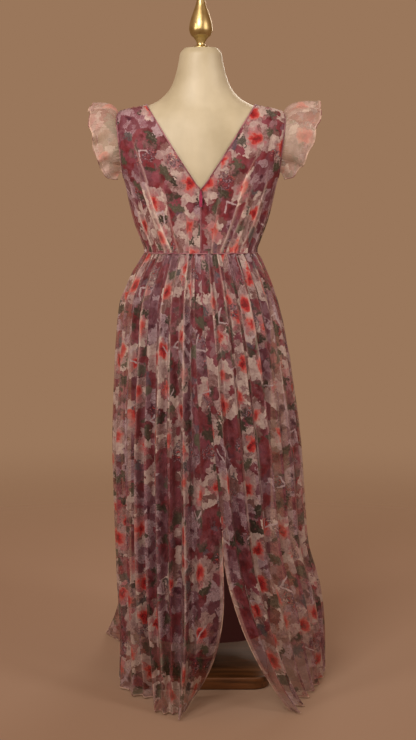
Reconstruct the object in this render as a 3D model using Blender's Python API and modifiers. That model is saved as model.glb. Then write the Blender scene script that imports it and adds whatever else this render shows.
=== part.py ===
"""Evening gown on its limbless dress form: back view towards -Y, +Z up, metres.

The cloth pieces are thin walls. The bodice follows the dress form's own rings, moved
out by its ease. The skirt runs through plan sections, with one spline through the
ridges and valleys of its folds at each section. The origin is on the floor, under the
middle of the stand's base.
"""

import math

import bmesh
import bpy
import numpy as np

COLLECTION = "evening_gown"

# Driving sizes of the gown
WAIST_Z = 0.980
HEM_Z = 0.004
CLOTH = 0.0015
SHEER = 0.0012
LINING = 0.0010
SEAM_GAP = 0.0003
V_POINT_Z = 1.122
NECK_POINT = (0.120, 1.310)
SLIT_TOP_Z = 0.375
RULE = 0.92  # power on sine and cosine: below 1 it squares a section a little

# Driving sizes of the stand
BASE_SIZE = (0.310, 0.328, 0.028)
BASE_CORNER = 0.040
POLE_RADIUS = 0.0125
NECK_TOP_Z = 1.440

# The dress form's rings, bottom to top. Each ring is a loop whose sides, back and front
# have their own height, so that the rings climb over the shoulders.
# Columns: half width, side z, back depth, back z, front depth, front z, ease of the cloth
FORM_RINGS = np.array([
    (0.146, 0.800, 0.108, 0.800, 0.104, 0.800, 0.0045),
    (0.156, 0.840, 0.116, 0.840, 0.108, 0.840, 0.0045),
    (0.151, 0.880, 0.113, 0.880, 0.105, 0.880, 0.0045),
    (0.138, 0.930, 0.101, 0.930, 0.098, 0.930, 0.0045),
    (0.1215, 0.980, 0.089, 0.980, 0.090, 0.980, 0.0045),
    (0.129, 1.010, 0.089, 1.010, 0.096, 1.010, 0.0045),
    (0.1455, 1.052, 0.093, 1.052, 0.108, 1.055, 0.0040),
    (0.1575, 1.095, 0.097, 1.095, 0.120, 1.100, 0.0036),
    (0.167, 1.135, 0.100, 1.132, 0.127, 1.140, 0.0032),
    (0.178, 1.165, 0.101, 1.160, 0.124, 1.170, 0.0030),
    (0.191, 1.197, 0.100, 1.185, 0.116, 1.195, 0.0030),
    (0.198, 1.235, 0.098, 1.213, 0.105, 1.220, 0.0030),
    (0.195, 1.270, 0.093, 1.243, 0.092, 1.242, 0.0026),
    (0.184, 1.294, 0.085, 1.270, 0.080, 1.262, 0.0018),
    (0.158, 1.304, 0.077, 1.290, 0.070, 1.278, 0.0009),
    (0.130, 1.3085, 0.070, 1.305, 0.064, 1.290, 0.0019),
    (0.102, 1.320, 0.065, 1.318, 0.060, 1.302, 0.0026),
    (0.081, 1.336, 0.061, 1.332, 0.058, 1.318, 0.0025),
    (0.066, 1.357, 0.057, 1.353, 0.056, 1.343, 0.0025),
    (0.056, 1.385, 0.0525, 1.383, 0.053, 1.378, 0.0025),
    (0.050, 1.412, 0.0495, 1.411, 0.0495, 1.409, 0.0025),
    (0.047, 1.428, 0.0465, 1.428, 0.0465, 1.427, 0.0025),
    (0.038, NECK_TOP_Z, 0.038, NECK_TOP_Z, 0.038, NECK_TOP_Z, 0.0025),
])
WAIST_RING, V_RING, UNDERARM_RING, SHOULDER_RING, NECK_RING = 4.0, 7.75, 8.45, 13.0, 15.35
FRONT_NECK_RING = 10.0
FORM_SIDES = 28
STUB_CENTRE = (0.184, 0.0, 1.231)
STUB_RADII = (0.051, 0.040, 0.053)
STUB_SQUARENESS = 0.88  # power on the unit ball's coordinates: below 1 it fills its box more

# Pole with its top flange and its foot, bottom to top.
# Columns: radius, height above the base; then radius, depth below the torso
POLE_FOOT = ((0.035, 0.0003), (0.034, 0.0083), (0.022, 0.0183), (POLE_RADIUS, 0.0303))
POLE_TOP = ((POLE_RADIUS, 0.0163), (0.040, 0.0083), (0.042, 0.0043), (0.040, 0.0003))

# Armhole: how far its edge lies from the side seam's angle, in degrees, at its middle
ARMHOLE_ANGLE = 24.0

# Bodice gathers: folds across the panel, depth at the waist, gathers at a shoulder, their depth
BACK_FOLDS = (6, 0.0042, 6, 0.0013)
FRONT_FOLDS = (5, 0.0036, 0, 0.0)
BACK_GRID = (24, 12)
FRONT_GRID = (18, 11)  # half of the front
ROW_CROWDING = 1.5  # above 1 the rows lie closer towards the shoulder

# Flutter sleeves: reach of the ruffle at the shoulder, power of its narrowing towards the underarm,
# how high its gathered head stands, waves, depth of a wave at the edge
SLEEVE_LEFT = (0.049, 0.42, 0.015, 9, 0.011)
SLEEVE_RIGHT = (0.067, 0.75, 0.017, 9, 0.013)
SLEEVE_LEAST = 0.012  # reach of the ruffle at its two ends
SLEEVE_FLARE, SLEEVE_DROOP = 0.15, 0.014
SLEEVE_COLUMNS, SLEEVE_ROWS = 54, np.array([0.0, 0.12, 0.36, 0.68, 1.0])
ARMHOLE_CENTRE = (0.0, 1.225)
UNDERARM_OPEN = 0.10  # share of the armhole under the arm that has no ruffle
SIDE_SEAM_SHARE = 0.44  # share of the panel's height below the armhole
CENTRE_SEAM_SHARE = 0.46  # share of the back panel's height below the V point

# The skirt's plan sections, top to bottom: its reach to each side at the ridges of the folds.
# Columns: z, left, right, back, front
SKIRT_SECTIONS = np.array([
    (WAIST_Z, 0.1315, 0.1315, 0.099, 0.100),
    (0.958, 0.144, 0.142, 0.112, 0.112),
    (0.938, 0.157, 0.151, 0.123, 0.122),
    (0.905, 0.172, 0.164, 0.138, 0.136),
    (0.871, 0.186, 0.176, 0.152, 0.150),
    (0.824, 0.193, 0.189, 0.170, 0.166),
    (0.745, 0.199, 0.205, 0.193, 0.189),
    (0.568, 0.206, 0.230, 0.232, 0.228),
    (0.427, 0.204, 0.241, 0.262, 0.258),
    (0.308, 0.201, 0.249, 0.290, 0.285),
    (0.212, 0.198, 0.276, 0.312, 0.305),
    (0.116, 0.190, 0.288, 0.330, 0.320),
    (HEM_Z, 0.187, 0.290, 0.345, 0.330),
])
# Folds of each panel, anticlockwise seen from above: one row for a ridge.
# Columns: angle at the waist, angle low down, hem x, hem y, how far the next valley dips at the hem
BACK_LEFT_FOLDS = (
    (191.0, 190.0, -0.190, -0.080, 0.012),
    (206.0, 203.0, -0.182, -0.155, 0.010),
    (218.0, 215.0, -0.152, -0.214, 0.012),
    (227.0, 225.0, -0.124, -0.228, 0.050),
    (235.5, 234.0, -0.100, -0.318, 0.012),
    (243.5, 243.5, -0.079, -0.337, 0.012),
    (251.5, 253.0, -0.060, -0.338, 0.028),
    (259.0, 263.0, -0.046, -0.378, 0.020),
    (265.5, 272.5, -0.032, -0.322, 0.0),
)
BACK_RIGHT_FOLDS = (
    (275.5, 289.0, 0.216, -0.333, 0.030),
    (284.0, 297.0, 0.226, -0.282, 0.040),
    (293.5, 306.0, 0.240, -0.226, 0.020),
    (304.0, 317.0, 0.256, -0.180, 0.014),
    (313.5, 326.0, 0.270, -0.132, 0.018),
    (324.5, 334.0, 0.282, -0.086, 0.014),
    (338.0, 345.0, 0.290, -0.042, 0.014),
    (350.0, 353.0, 0.293, -0.010, 0.0),
)
FRONT_SKIRT_FOLDS = (
    (9.0, 8.0, 0.291, 0.060, 0.014),
    (22.0, 20.0, 0.283, 0.122, 0.030),
    (37.0, 35.0, 0.262, 0.196, 0.018),
    (51.0, 50.0, 0.228, 0.262, 0.042),
    (65.0, 64.0, 0.172, 0.302, 0.020),
    (79.0, 78.0, 0.108, 0.334, 0.048),
    (94.0, 93.0, 0.030, 0.328, 0.022),
    (109.0, 108.0, -0.046, 0.342, 0.046),
    (123.0, 123.0, -0.120, 0.324, 0.020),
    (138.0, 139.0, -0.190, 0.318, 0.040),
    (153.0, 155.0, -0.244, 0.288, 0.040),
    (168.0, 169.0, -0.192, 0.110, 0.0),
)
LEFT_SEAM = (180.0, 180.0, -0.181, 0.008)
RIGHT_SEAM = (360.0, 360.0, 0.281, 0.022)
CENTRE_BACK = (270.0, 281.0)
SLIT_LEFT_HEM, SLIT_RIGHT_HEM = (-0.014, -0.215), (0.192, -0.312)
SLIT_LEFT_POWER, SLIT_RIGHT_POWER = 3.0, 2.2
HEM_POWER = 7.0  # how late a fold leaves its section for its place on the hem
WAIST_DEPTH, SKIRT_DEPTH, SIDE_SHARE = 0.0042, 0.026, 0.45
SPAN_STEPS = 2

# The lining's sections, top to bottom. Columns: z, half width, back, front
LINING_SECTIONS = np.array([
    (0.9765, 0.1243, 0.0918, 0.0928),
    (0.940, 0.141, 0.105, 0.104),
    (0.895, 0.1530, 0.114, 0.110),
    (0.845, 0.160, 0.122, 0.118),
    (0.450, 0.163, 0.146, 0.142),
    (0.104, 0.164, 0.156, 0.152),
])
LINING_SIDES = 16

# The zip. Its tape lies inside the centre back seam, and its slider on the outside, at the top.
ZIP_TOP_Z, TAPE_HALF, TAPE = 1.116, 0.011, 0.0010
TAPE_SECTIONS = 5  # the tape ends at this row of the skirt's sections
SLIDER_SIZE = (0.0062, 0.0036, 0.0110)
SLIDER_TOP_Z = 1.1225
SLIDER_LIFT = 0.0006  # how far the slider stands off the cloth
EAR_THICK, EAR_HEIGHT, HINGE_RADIUS = 0.0011, 0.0034, 0.0013
PULL_WIDTH, PULL_THICK, PULL_LENGTH, PULL_HEAD = 0.0070, 0.0016, 0.0330, 0.0034
NECK_LENGTH, BLADE_START, BLADE_CORNER = 0.0058, 0.0048, 0.0024

# Finial profile, bottom to top. Columns: radius, z above the neck's top
FINIAL_PROFILE = (
    (0.0170, 0.0003), (0.0170, 0.0045), (0.0105, 0.0060), (0.0097, 0.0130), (0.0160, 0.0230),
    (0.0224, 0.0290), (0.0260, 0.0380), (0.0265, 0.0450), (0.0252, 0.0555), (0.0222, 0.0670),
    (0.0170, 0.0820), (0.0118, 0.0965), (0.0086, 0.1100), (0.0050, 0.1250),
)


def material(name, colour, roughness, metallic=0.0):
    made = bpy.data.materials.new(name)
    made.use_nodes = True
    shader = made.node_tree.nodes["Principled BSDF"]
    shader.inputs["Base Color"].default_value = (*colour, 1.0)
    shader.inputs["Roughness"].default_value = roughness
    shader.inputs["Metallic"].default_value = metallic
    made.diffuse_color = (*colour, 1.0)
    return made


def add_object(name, mesh, finish, collection):
    piece = bpy.data.objects.new(name, mesh)
    collection.objects.link(piece)
    mesh.materials.append(finish)
    return piece


def smooth_rows(table, row):
    """The table's columns at fractional rows, by a cubic through the rows on either side."""
    row = np.asarray(row, float)
    low = np.clip(np.floor(row).astype(int), 0, len(table) - 2)
    part = (row - low)[..., None]
    before, after = table[np.maximum(low - 1, 0)], table[np.minimum(low + 2, len(table) - 1)]
    here, there = table[low], table[low + 1]
    leave, arrive = (there - before) / 2, (after - here) / 2
    leave = np.where((low == 0)[..., None], there - here, leave)
    arrive = np.where((low == len(table) - 2)[..., None], there - here, arrive)
    return (here * (2 * part**3 - 3 * part**2 + 1) + leave * (part**3 - 2 * part**2 + part)
            + there * (3 * part**2 - 2 * part**3) + arrive * (part**3 - part**2))


def spline(points, steps):
    """A curve through the points on axis 0, with this many steps in each span."""
    return smooth_rows(points, np.linspace(0, len(points) - 1, (len(points) - 1) * steps + 1))


def squared(value):
    return np.sign(value) * np.abs(value) ** RULE


def form_point(angle, ring):
    """A point of the dress form: the ring's ellipse, its height blending from side to middle."""
    width, side_z, back, back_z, front, front_z, _ = np.moveaxis(smooth_rows(FORM_RINGS, ring), -1, 0)
    turn = np.radians(angle)
    cosine, sine = np.cos(turn), np.sin(turn)
    depth = np.where(sine < 0, back, front)
    middle_z = np.where(sine < 0, back_z, front_z)
    return np.stack([width * squared(cosine), depth * squared(sine),
                     middle_z + (side_z - middle_z) * cosine**2], -1)


def form_outward(angle, ring):
    """The form's outward direction there, level at the waist so that the waist seam stays flat."""
    across = form_point(angle + 0.5, ring) - form_point(angle - 0.5, ring)
    up = form_point(angle, ring + 0.02) - form_point(angle, ring - 0.02)
    normal = np.cross(across, up)
    normal[..., 2] *= np.clip((ring - WAIST_RING) / 2.0, 0.0, 1.0)
    return normal / np.linalg.norm(normal, axis=-1, keepdims=True)


def ease_at(ring):
    return smooth_rows(FORM_RINGS, ring)[..., 6]


def over_form(angle, ring, out):
    return form_point(angle, ring) + form_outward(angle, ring) * np.asarray(out)[..., None]


def neckline_angle(ring):
    """Where the back neckline's V crosses a ring: a straight line from the V point to the neck point."""
    scan = np.linspace(270.0, 360.0, 361)
    points = over_form(scan, np.full_like(scan, ring), np.full_like(scan, CLOTH))
    climb = np.clip((points[:, 2] - V_POINT_Z) / (NECK_POINT[1] - V_POINT_Z), 0.0, 1.0)
    past = points[:, 0] - NECK_POINT[0] * climb**0.94
    past[0] = -1e-6
    after = int(np.argmax(past > 0)) if (past > 0).any() else len(scan) - 1
    before = max(after - 1, 0)
    share = -past[before] / (past[after] - past[before])
    return scan[before] + (scan[after] - scan[before]) * np.clip(share, 0.0, 1.0)


NECKLINE_RINGS = np.linspace(V_RING, NECK_RING, 25)
NECKLINE_ANGLES = np.array([neckline_angle(ring) for ring in NECKLINE_RINGS])
NECKLINE_ANGLES[0], NECKLINE_ANGLES[-1] = 270.0, 360.0


def back_inner_edge(climb):
    """Angle and ring up the centre back seam and then along the V, for climb 0 to 1."""
    seam = CENTRE_SEAM_SHARE
    ring = np.where(climb < seam, WAIST_RING + (V_RING - WAIST_RING) * climb / seam,
                    V_RING + (NECK_RING - V_RING) * (climb - seam) / (1 - seam))
    return np.stack([np.interp(ring, NECKLINE_RINGS, NECKLINE_ANGLES), ring], -1)


def armhole_edge(climb, side_angle, turn):
    """Angle and ring up the side seam and round the armhole, for climb 0 to 1."""
    seam = SIDE_SEAM_SHARE
    along = np.clip((climb - seam) / (1 - seam), 0.0, 1.0)
    ring = np.where(climb < seam, WAIST_RING + (UNDERARM_RING - WAIST_RING) * climb / seam,
                    UNDERARM_RING + (SHOULDER_RING - UNDERARM_RING) * along)
    return np.stack([side_angle + turn * ARMHOLE_ANGLE * np.sin(np.pi * along) ** 0.75, ring], -1)


def patch(u, v, bottom, top, left, right):
    """A panel between four edges in angle and ring: the sum of both rulings less the corners' one."""
    ends = np.array([0.0, 1.0])
    corner_low, corner_high = bottom(ends), top(ends)
    u, v = u[..., None], v[..., None]
    ruled = ((1 - v) * bottom(u[..., 0]) + v * top(u[..., 0])
             + (1 - u) * left(v[..., 0]) + u * right(v[..., 0]))
    return ruled - ((1 - u) * (1 - v) * corner_low[0] + u * (1 - v) * corner_low[1]
                    + (1 - u) * v * corner_high[0] + u * v * corner_high[1])


def line(start, end):
    start, end = np.array(start), np.array(end)
    return lambda share: start + (end - start) * np.asarray(share)[..., None]


def gathers(u, v, folds):
    """Height of the gathers: folds that fan up from the waist, and fine ones at the shoulder seam."""
    waist_folds, waist_depth, shoulder_folds, shoulder_depth = folds
    calm = np.clip(np.minimum(u, 1 - u) / 0.10, 0.0, 1.0)
    uneven = 0.72 + 0.28 * np.sin(5.0 * u * np.pi + 0.8)
    low = waist_depth * uneven * (1 - v) ** 1.1 * (1 - np.cos(2 * np.pi * waist_folds * u)) / 2
    high = shoulder_depth * v**5 * (1 - np.cos(2 * np.pi * shoulder_folds * u)) / 2
    return calm * (low + high)


def back_panel(u, v):
    """The right half of the bodice's back: u from the centre seam to the side, v from waist to shoulder."""
    place = patch(u, v, line((270.0, WAIST_RING), (360.0, WAIST_RING)),
                  line((360.0, NECK_RING), (360.0, SHOULDER_RING)),
                  back_inner_edge, lambda climb: armhole_edge(climb, 360.0, -1.0))
    angle, ring = place[..., 0], place[..., 1]
    return over_form(angle, ring, ease_at(ring) + CLOTH + gathers(u, v, BACK_FOLDS))


def front_inner_edge(climb):
    """Angle and ring up the middle of the front and then along its scooped neckline."""
    along = np.clip((climb - CENTRE_SEAM_SHARE) / (1 - CENTRE_SEAM_SHARE), 0.0, 1.0)
    ring = np.where(climb < CENTRE_SEAM_SHARE,
                    WAIST_RING + (FRONT_NECK_RING - WAIST_RING) * climb / CENTRE_SEAM_SHARE,
                    FRONT_NECK_RING + (NECK_RING - FRONT_NECK_RING) * along)
    return np.stack([90.0 * (1 - along**0.6), ring], -1)


def front_half(u, v):
    """The right half of the bodice's front: u from the side to the middle, v from waist to shoulder."""
    place = patch(u, v, line((0.0, WAIST_RING), (90.0, WAIST_RING)),
                  line((0.0, SHOULDER_RING), (0.0, NECK_RING)),
                  lambda climb: armhole_edge(climb, 0.0, 1.0), front_inner_edge)
    angle, ring = place[..., 0], place[..., 1]
    return over_form(angle, ring, ease_at(ring) + CLOTH + gathers(u, v, FRONT_FOLDS))


def mirrored(surface):
    """The same surface on the other side, run the other way so that it still faces out."""
    return lambda u, v: surface(1 - u, v) * np.array([-1.0, 1.0, 1.0])


def armhole_seam(front_edge, back_edge):
    """The line round the right armhole, along the panels' own edges, from the front underarm to the back."""
    height = panel_rows(len(front_edge) - 1), panel_rows(len(back_edge) - 1)
    open_to = SIDE_SEAM_SHARE + (1 - SIDE_SEAM_SHARE) * UNDERARM_OPEN
    route = np.concatenate([front_edge[height[0] > open_to], back_edge[height[1] > open_to][::-1]])
    lengths = np.append(0.0, np.cumsum(np.linalg.norm(np.diff(route, axis=0), axis=1)))
    return lambda share: np.stack([np.interp(share * lengths[-1], lengths, column) for column in route.T], -1)


def sleeve(sizes, seam_line):
    """The right flutter sleeve: up from its gathered head, then straight out, its waves deepest at the edge."""
    width, narrowing, head, waves, depth = sizes

    def surface(u, v):
        seam = seam_line(u)
        radial = seam - np.array([0.0, *ARMHOLE_CENTRE])
        radial[..., 0] = 0.0
        radial /= np.linalg.norm(radial, axis=-1, keepdims=True)
        height = np.clip(np.sin(np.pi * u), 0.0, 1.0)
        reach = width * height**narrowing + SLEEVE_LEAST
        wave = (1 - np.cos(2 * np.pi * waves * u + 0.6 * np.sin(4 * np.pi * u))) / 2
        rise = (reach * v * SLEEVE_FLARE + head * height**2 * (1 - (1 - v) ** 7)
                + depth * wave * v**0.9 * np.maximum(height, 0.1) ** 0.4)
        point = seam + radial * rise[..., None]
        point[..., 0] += 2 * SEAM_GAP + reach * v
        point[..., 2] -= SLEEVE_DROOP * v**2
        return point

    return surface


def skirt_section(angle, z, inward):
    """Plan points of the skirt at height z, moved in from the ridges by a share of the radius."""
    table = SKIRT_SECTIONS[::-1]
    left, right, back, front = (np.interp(z, table[:, 0], table[:, column]) for column in (1, 2, 3, 4))
    turn = np.radians(angle)
    cosine, sine = np.cos(turn), np.sin(turn)
    x = np.where(cosine < 0, left, right) * squared(cosine)
    y = np.where(sine < 0, back, front) * squared(sine)
    radius = np.hypot(x, y)
    shrink = 1 - inward / radius
    return np.stack([x * shrink, y * shrink], -1)


def fold_depth(angle, drop):
    """How far a valley lies inside the ridges: shallow at the waist and towards the sides."""
    side = 1 - SIDE_SHARE * np.cos(np.radians(angle)) ** 4
    return WAIST_DEPTH + (SKIRT_DEPTH - WAIST_DEPTH) * np.clip(drop * 1.6, 0.0, 1.0) ** 0.8 * side


def crease(z, waist_angle, low_angle, hem, valley, late=None):
    """One ridge or valley from waist to hem: it leaves its section late, for its own place on the hem."""
    drop = (WAIST_Z - z) / (WAIST_Z - HEM_Z)
    slit_drop = (WAIST_Z - SLIT_TOP_Z) / (WAIST_Z - HEM_Z)
    if late is None:
        angle = waist_angle + (low_angle - waist_angle) * drop
        share = drop**HEM_POWER
    else:
        angle = waist_angle + (low_angle - waist_angle) * np.clip(drop / slit_drop, 0.0, 1.0) ** 1.3
        share = np.clip((drop - slit_drop) / (1 - slit_drop), 0.0, 1.0) ** late
    inward = fold_depth(angle, drop) if valley else np.zeros_like(z)
    plan = skirt_section(angle, z, inward)
    return plan + (np.array(hem) - plan) * share[..., None]


def skirt_creases(z, folds, start, end):
    """All creases of a panel in order: its first edge, ridge, valley, ridge and so on, its last edge."""
    columns = [start(z)]
    for number, (waist_angle, low_angle, hem_x, hem_y, dip) in enumerate(folds):
        columns.append(crease(z, waist_angle, low_angle, (hem_x, hem_y), valley=False))
        if number + 1 < len(folds):
            following = folds[number + 1]
            middle = np.array([(hem_x + following[2]) / 2, (hem_y + following[3]) / 2])
            hem = middle * (1 - dip / np.hypot(*middle))
            columns.append(crease(z, (waist_angle + following[0]) / 2, (low_angle + following[1]) / 2,
                                  hem, valley=True))
    columns.append(end(z))
    return np.array(columns)


def left_seam(z):
    return crease(z, *LEFT_SEAM[:2], LEFT_SEAM[2:], valley=True)


def right_seam(z):
    return crease(z, *RIGHT_SEAM[:2], RIGHT_SEAM[2:], valley=True)


def slit_left(z):
    return crease(z, *CENTRE_BACK, SLIT_LEFT_HEM, valley=True, late=SLIT_LEFT_POWER)


def slit_right(z):
    return crease(z, *CENTRE_BACK, SLIT_RIGHT_HEM, valley=True, late=SLIT_RIGHT_POWER)


def skirt_grid(folds, start, end, levels, steps):
    """Points of a skirt panel, rows from the hem up: a spline round each section's creases."""
    rows = []
    for z in levels:
        plan = spline(skirt_creases(np.array(z), folds, start, end), steps)
        rows.append(np.column_stack([plan, np.full(len(plan), z)]))
    return np.array(rows)


def pulled_back(grid, gap=0.6 * SEAM_GAP):
    """The grid with its two side edges moved in, so that it stays clear of its neighbours there."""
    grid = grid.copy()
    for edge, inner in ((0, 1), (-1, -2)):
        step = grid[:, inner] - grid[:, edge]
        length = np.linalg.norm(step, axis=-1, keepdims=True)
        grid[:, edge] += step / length * gap
    return grid


def shoulder_pulled_back(grid, gap=0.9 * SEAM_GAP):
    """The same for the top edge, at the shoulder seam."""
    return pulled_back(grid.swapaxes(0, 1), gap).swapaxes(0, 1)


def panel_rows(rows):
    """Heights of a bodice panel's rows, 0 at the waist and 1 at the shoulder, closer towards the shoulder."""
    return 1 - (1 - np.linspace(0, 1, rows + 1)) ** ROW_CROWDING


def sample(surface, columns, heights):
    """The surface's points on a grid, evenly across and at these heights."""
    u, v = np.meshgrid(np.linspace(0, 1, columns + 1), heights)
    return surface(u, v)


def cloth_piece(name, grid, thickness, finish, collection, mirror=False):
    """A cloth wall: a Blender grid laid through the points, thickened inwards by Solidify."""
    rows, columns = grid.shape[:2]
    mesh = bpy.data.meshes.new(name)
    sheet = bmesh.new()
    bmesh.ops.create_grid(sheet, x_segments=columns - 1, y_segments=rows - 1, size=0.5)
    for vertex in sheet.verts:
        column = round((vertex.co.x + 0.5) * (columns - 1))
        row = round((vertex.co.y + 0.5) * (rows - 1))
        vertex.co = grid[row, column]
    sheet.to_mesh(mesh)
    sheet.free()
    mesh.shade_smooth()
    piece = add_object(name, mesh, finish, collection)
    if mirror:
        other_half = piece.modifiers.new("other half", "MIRROR")
        other_half.use_clip = True
        other_half.merge_threshold = 0.0001
    wall = piece.modifiers.new("wall", "SOLIDIFY")
    wall.thickness = thickness
    wall.offset = -1.0
    return piece


def ring_solid(name, rings, finish, collection):
    """A closed solid through rings of points, from a UV sphere whose poles close its two ends."""
    count, sides = rings.shape[:2]
    mesh = bpy.data.meshes.new(name)
    ball = bmesh.new()
    bmesh.ops.create_uvsphere(ball, u_segments=sides, v_segments=count + 1, radius=1.0)
    for vertex in ball.verts:
        polar = math.acos(max(-1.0, min(1.0, -vertex.co.z)))
        row = round(polar / math.pi * (count + 1))
        if 0 < row <= count:
            turn = math.atan2(vertex.co.y, vertex.co.x)
            vertex.co = rings[row - 1, round(turn / math.tau * sides) % sides]
        else:
            vertex.co = rings[0 if row == 0 else -1].mean(axis=0)
    ball.to_mesh(mesh)
    ball.free()
    mesh.shade_smooth()
    return add_object(name, mesh, finish, collection)


def turned(name, profile, sides, finish, collection):
    """A turned solid: its profile, top to bottom, with a Screw modifier."""
    mesh = bpy.data.meshes.new(name)
    mesh.from_pydata([(radius, 0.0, z) for radius, z in profile],
                     [(i, i + 1) for i in range(len(profile) - 1)], [])
    piece = add_object(name, mesh, finish, collection)
    screw = piece.modifiers.new("turn", "SCREW")
    screw.steps = sides
    screw.render_steps = sides
    screw.use_merge_vertices = True
    screw.merge_threshold = 0.0001
    return piece


def box_piece(name, low, high, finish, collection, bevel=0.0, segments=2, upright_only=False):
    """A box between two corners, its edges rounded."""
    mesh = bpy.data.meshes.new(name)
    block = bmesh.new()
    bmesh.ops.create_cube(block, size=1.0)
    low, high = np.array(low), np.array(high)
    for vertex in block.verts:
        vertex.co = low + (np.array(vertex.co) + 0.5) * (high - low)
    if bevel:
        edges = [edge for edge in block.edges
                 if not upright_only or abs(edge.verts[0].co.z - edge.verts[1].co.z) > 1e-6]
        bmesh.ops.bevel(block, geom=edges, offset=bevel, segments=segments, affect="EDGES", profile=0.5)
    block.to_mesh(mesh)
    block.free()
    return add_object(name, mesh, finish, collection)


def join(piece, other, tools):
    """Unites another solid with the piece, and keeps that solid out of the model."""
    union = piece.modifiers.new("join", "BOOLEAN")
    union.operation = "UNION"
    union.solver = "EXACT"
    union.object = other
    other.hide_render = True
    other.display_type = "WIRE"
    for owner in list(other.users_collection):
        owner.objects.unlink(other)
    tools.objects.link(other)


def build_form(finishes, model, tools):
    rings = np.arange(len(FORM_RINGS), dtype=float)
    angles = np.arange(FORM_SIDES) * 360.0 / FORM_SIDES
    points = form_point(angles[None, :] + 0 * rings[:, None], rings[:, None] + 0 * angles[None, :])
    torso = ring_solid("form_torso", points, finishes["cover"], model)
    for side, word in ((-1, "left"), (1, "right")):
        mesh = bpy.data.meshes.new("arm_cap_" + word)
        cap = bmesh.new()
        bmesh.ops.create_uvsphere(cap, u_segments=16, v_segments=10, radius=1.0)
        for vertex in cap.verts:
            spread = np.sign(vertex.co) * np.abs(vertex.co) ** STUB_SQUARENESS * np.array(STUB_RADII)
            vertex.co = np.array(STUB_CENTRE) * (side, 1, 1) + spread
        cap.to_mesh(mesh)
        cap.free()
        join(torso, add_object("arm_cap_" + word, mesh, finishes["cover"], model), tools)
    profile = [(0.0, NECK_TOP_Z + 0.1295)]
    profile += [(radius, NECK_TOP_Z + z) for radius, z in reversed(FINIAL_PROFILE)]
    profile += [(0.0, NECK_TOP_Z + SEAM_GAP)]
    turned("finial", profile, 16, finishes["brass"], model)


def build_stand(finishes, model):
    width, depth, height = BASE_SIZE
    box_piece("stand_base", (-width / 2, -depth / 2, 0.0), (width / 2, depth / 2, height),
              finishes["wood"], model, bevel=BASE_CORNER, segments=5, upright_only=True)
    top = FORM_RINGS[0, 1]
    pole = [(0.0, top - POLE_TOP[-1][1])]
    pole += [(radius, top - depth_down) for radius, depth_down in reversed(POLE_TOP)]
    pole += [(radius, height + rise) for radius, rise in reversed(POLE_FOOT)]
    pole += [(0.0, height + POLE_FOOT[0][1])]
    turned("stand_pole", pole, 16, finishes["steel"], model)


def bodice_grids():
    """The bodice's three panels as grids of outer points, by name."""
    grids = {}
    for name, surface, (columns, rows) in (("bodice_back_right", back_panel, BACK_GRID),
                                           ("bodice_back_left", mirrored(back_panel), BACK_GRID),
                                           ("bodice_front", front_half, FRONT_GRID)):
        grid = shoulder_pulled_back(pulled_back(sample(surface, columns, panel_rows(rows))))
        if name == "bodice_front":
            grid[:, -1, 0] = np.where(panel_rows(rows) <= CENTRE_SEAM_SHARE, 0.0, grid[:, -1, 0])
        grid[0, :, 2] = WAIST_Z + SEAM_GAP / 2
        grids[name] = grid
    return grids


def build_bodice(finishes, model):
    grids = bodice_grids()
    for name, grid in grids.items():
        cloth_piece(name, grid, CLOTH, finishes["print"], model, mirror=name == "bodice_front")
    seam = armhole_seam(grids["bodice_front"][:, 0], grids["bodice_back_right"][:, -1])
    right = sample(sleeve(SLEEVE_RIGHT, seam), SLEEVE_COLUMNS, SLEEVE_ROWS)
    left = sample(mirrored(sleeve(SLEEVE_LEFT, seam)), SLEEVE_COLUMNS, SLEEVE_ROWS)
    cloth_piece("sleeve_right", right, SHEER, finishes["sheer"], model)
    cloth_piece("sleeve_left", left, SHEER, finishes["sheer"], model)


def build_skirt(finishes, model):
    levels = SKIRT_SECTIONS[::-1, 0].copy()
    levels[-1] -= SEAM_GAP / 2
    panels = (("skirt_back_left", BACK_LEFT_FOLDS, left_seam, slit_left),
              ("skirt_back_right", BACK_RIGHT_FOLDS, slit_right, right_seam),
              ("skirt_front", FRONT_SKIRT_FOLDS, right_seam, left_seam))
    for name, folds, start, end in panels:
        grid = pulled_back(skirt_grid(folds, start, end, levels, SPAN_STEPS))
        cloth_piece(name, grid, CLOTH, finishes["print"], model)


def lining_point(angle, z):
    table = LINING_SECTIONS[::-1]
    width, back, front = (np.interp(z, table[:, 0], table[:, column]) for column in (1, 2, 3))
    turn = np.radians(angle)
    depth = np.where(np.sin(turn) < 0, back, front)
    return np.stack([width * squared(np.cos(turn)), depth * squared(np.sin(turn)), z], -1)


def build_lining(finishes, model):
    levels = LINING_SECTIONS[::-1, 0]
    for name, first in (("lining_back", 180.0), ("lining_front", 0.0)):
        angles, heights = np.meshgrid(np.linspace(first, first + 180.0, LINING_SIDES + 1), levels)
        cloth_piece(name, pulled_back(lining_point(angles, heights)), LINING, finishes["lining"], model)


def tape_depth(z):
    """Depth of the zip tape's outer side at the centre back, inside the bodice and then the skirt."""
    rings = np.linspace(WAIST_RING, V_RING, 16)
    angle = np.full_like(rings, 270.0)
    inside = over_form(angle, rings, ease_at(rings) - SEAM_GAP)
    heights = SKIRT_SECTIONS[1:TAPE_SECTIONS, 0][::-1]
    skirt = np.array([slit_left(np.array(height))[1] for height in heights]) + CLOTH + 3 * SEAM_GAP
    return np.interp(z, np.append(heights, inside[:, 2]), np.append(skirt, inside[:, 1]))


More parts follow.
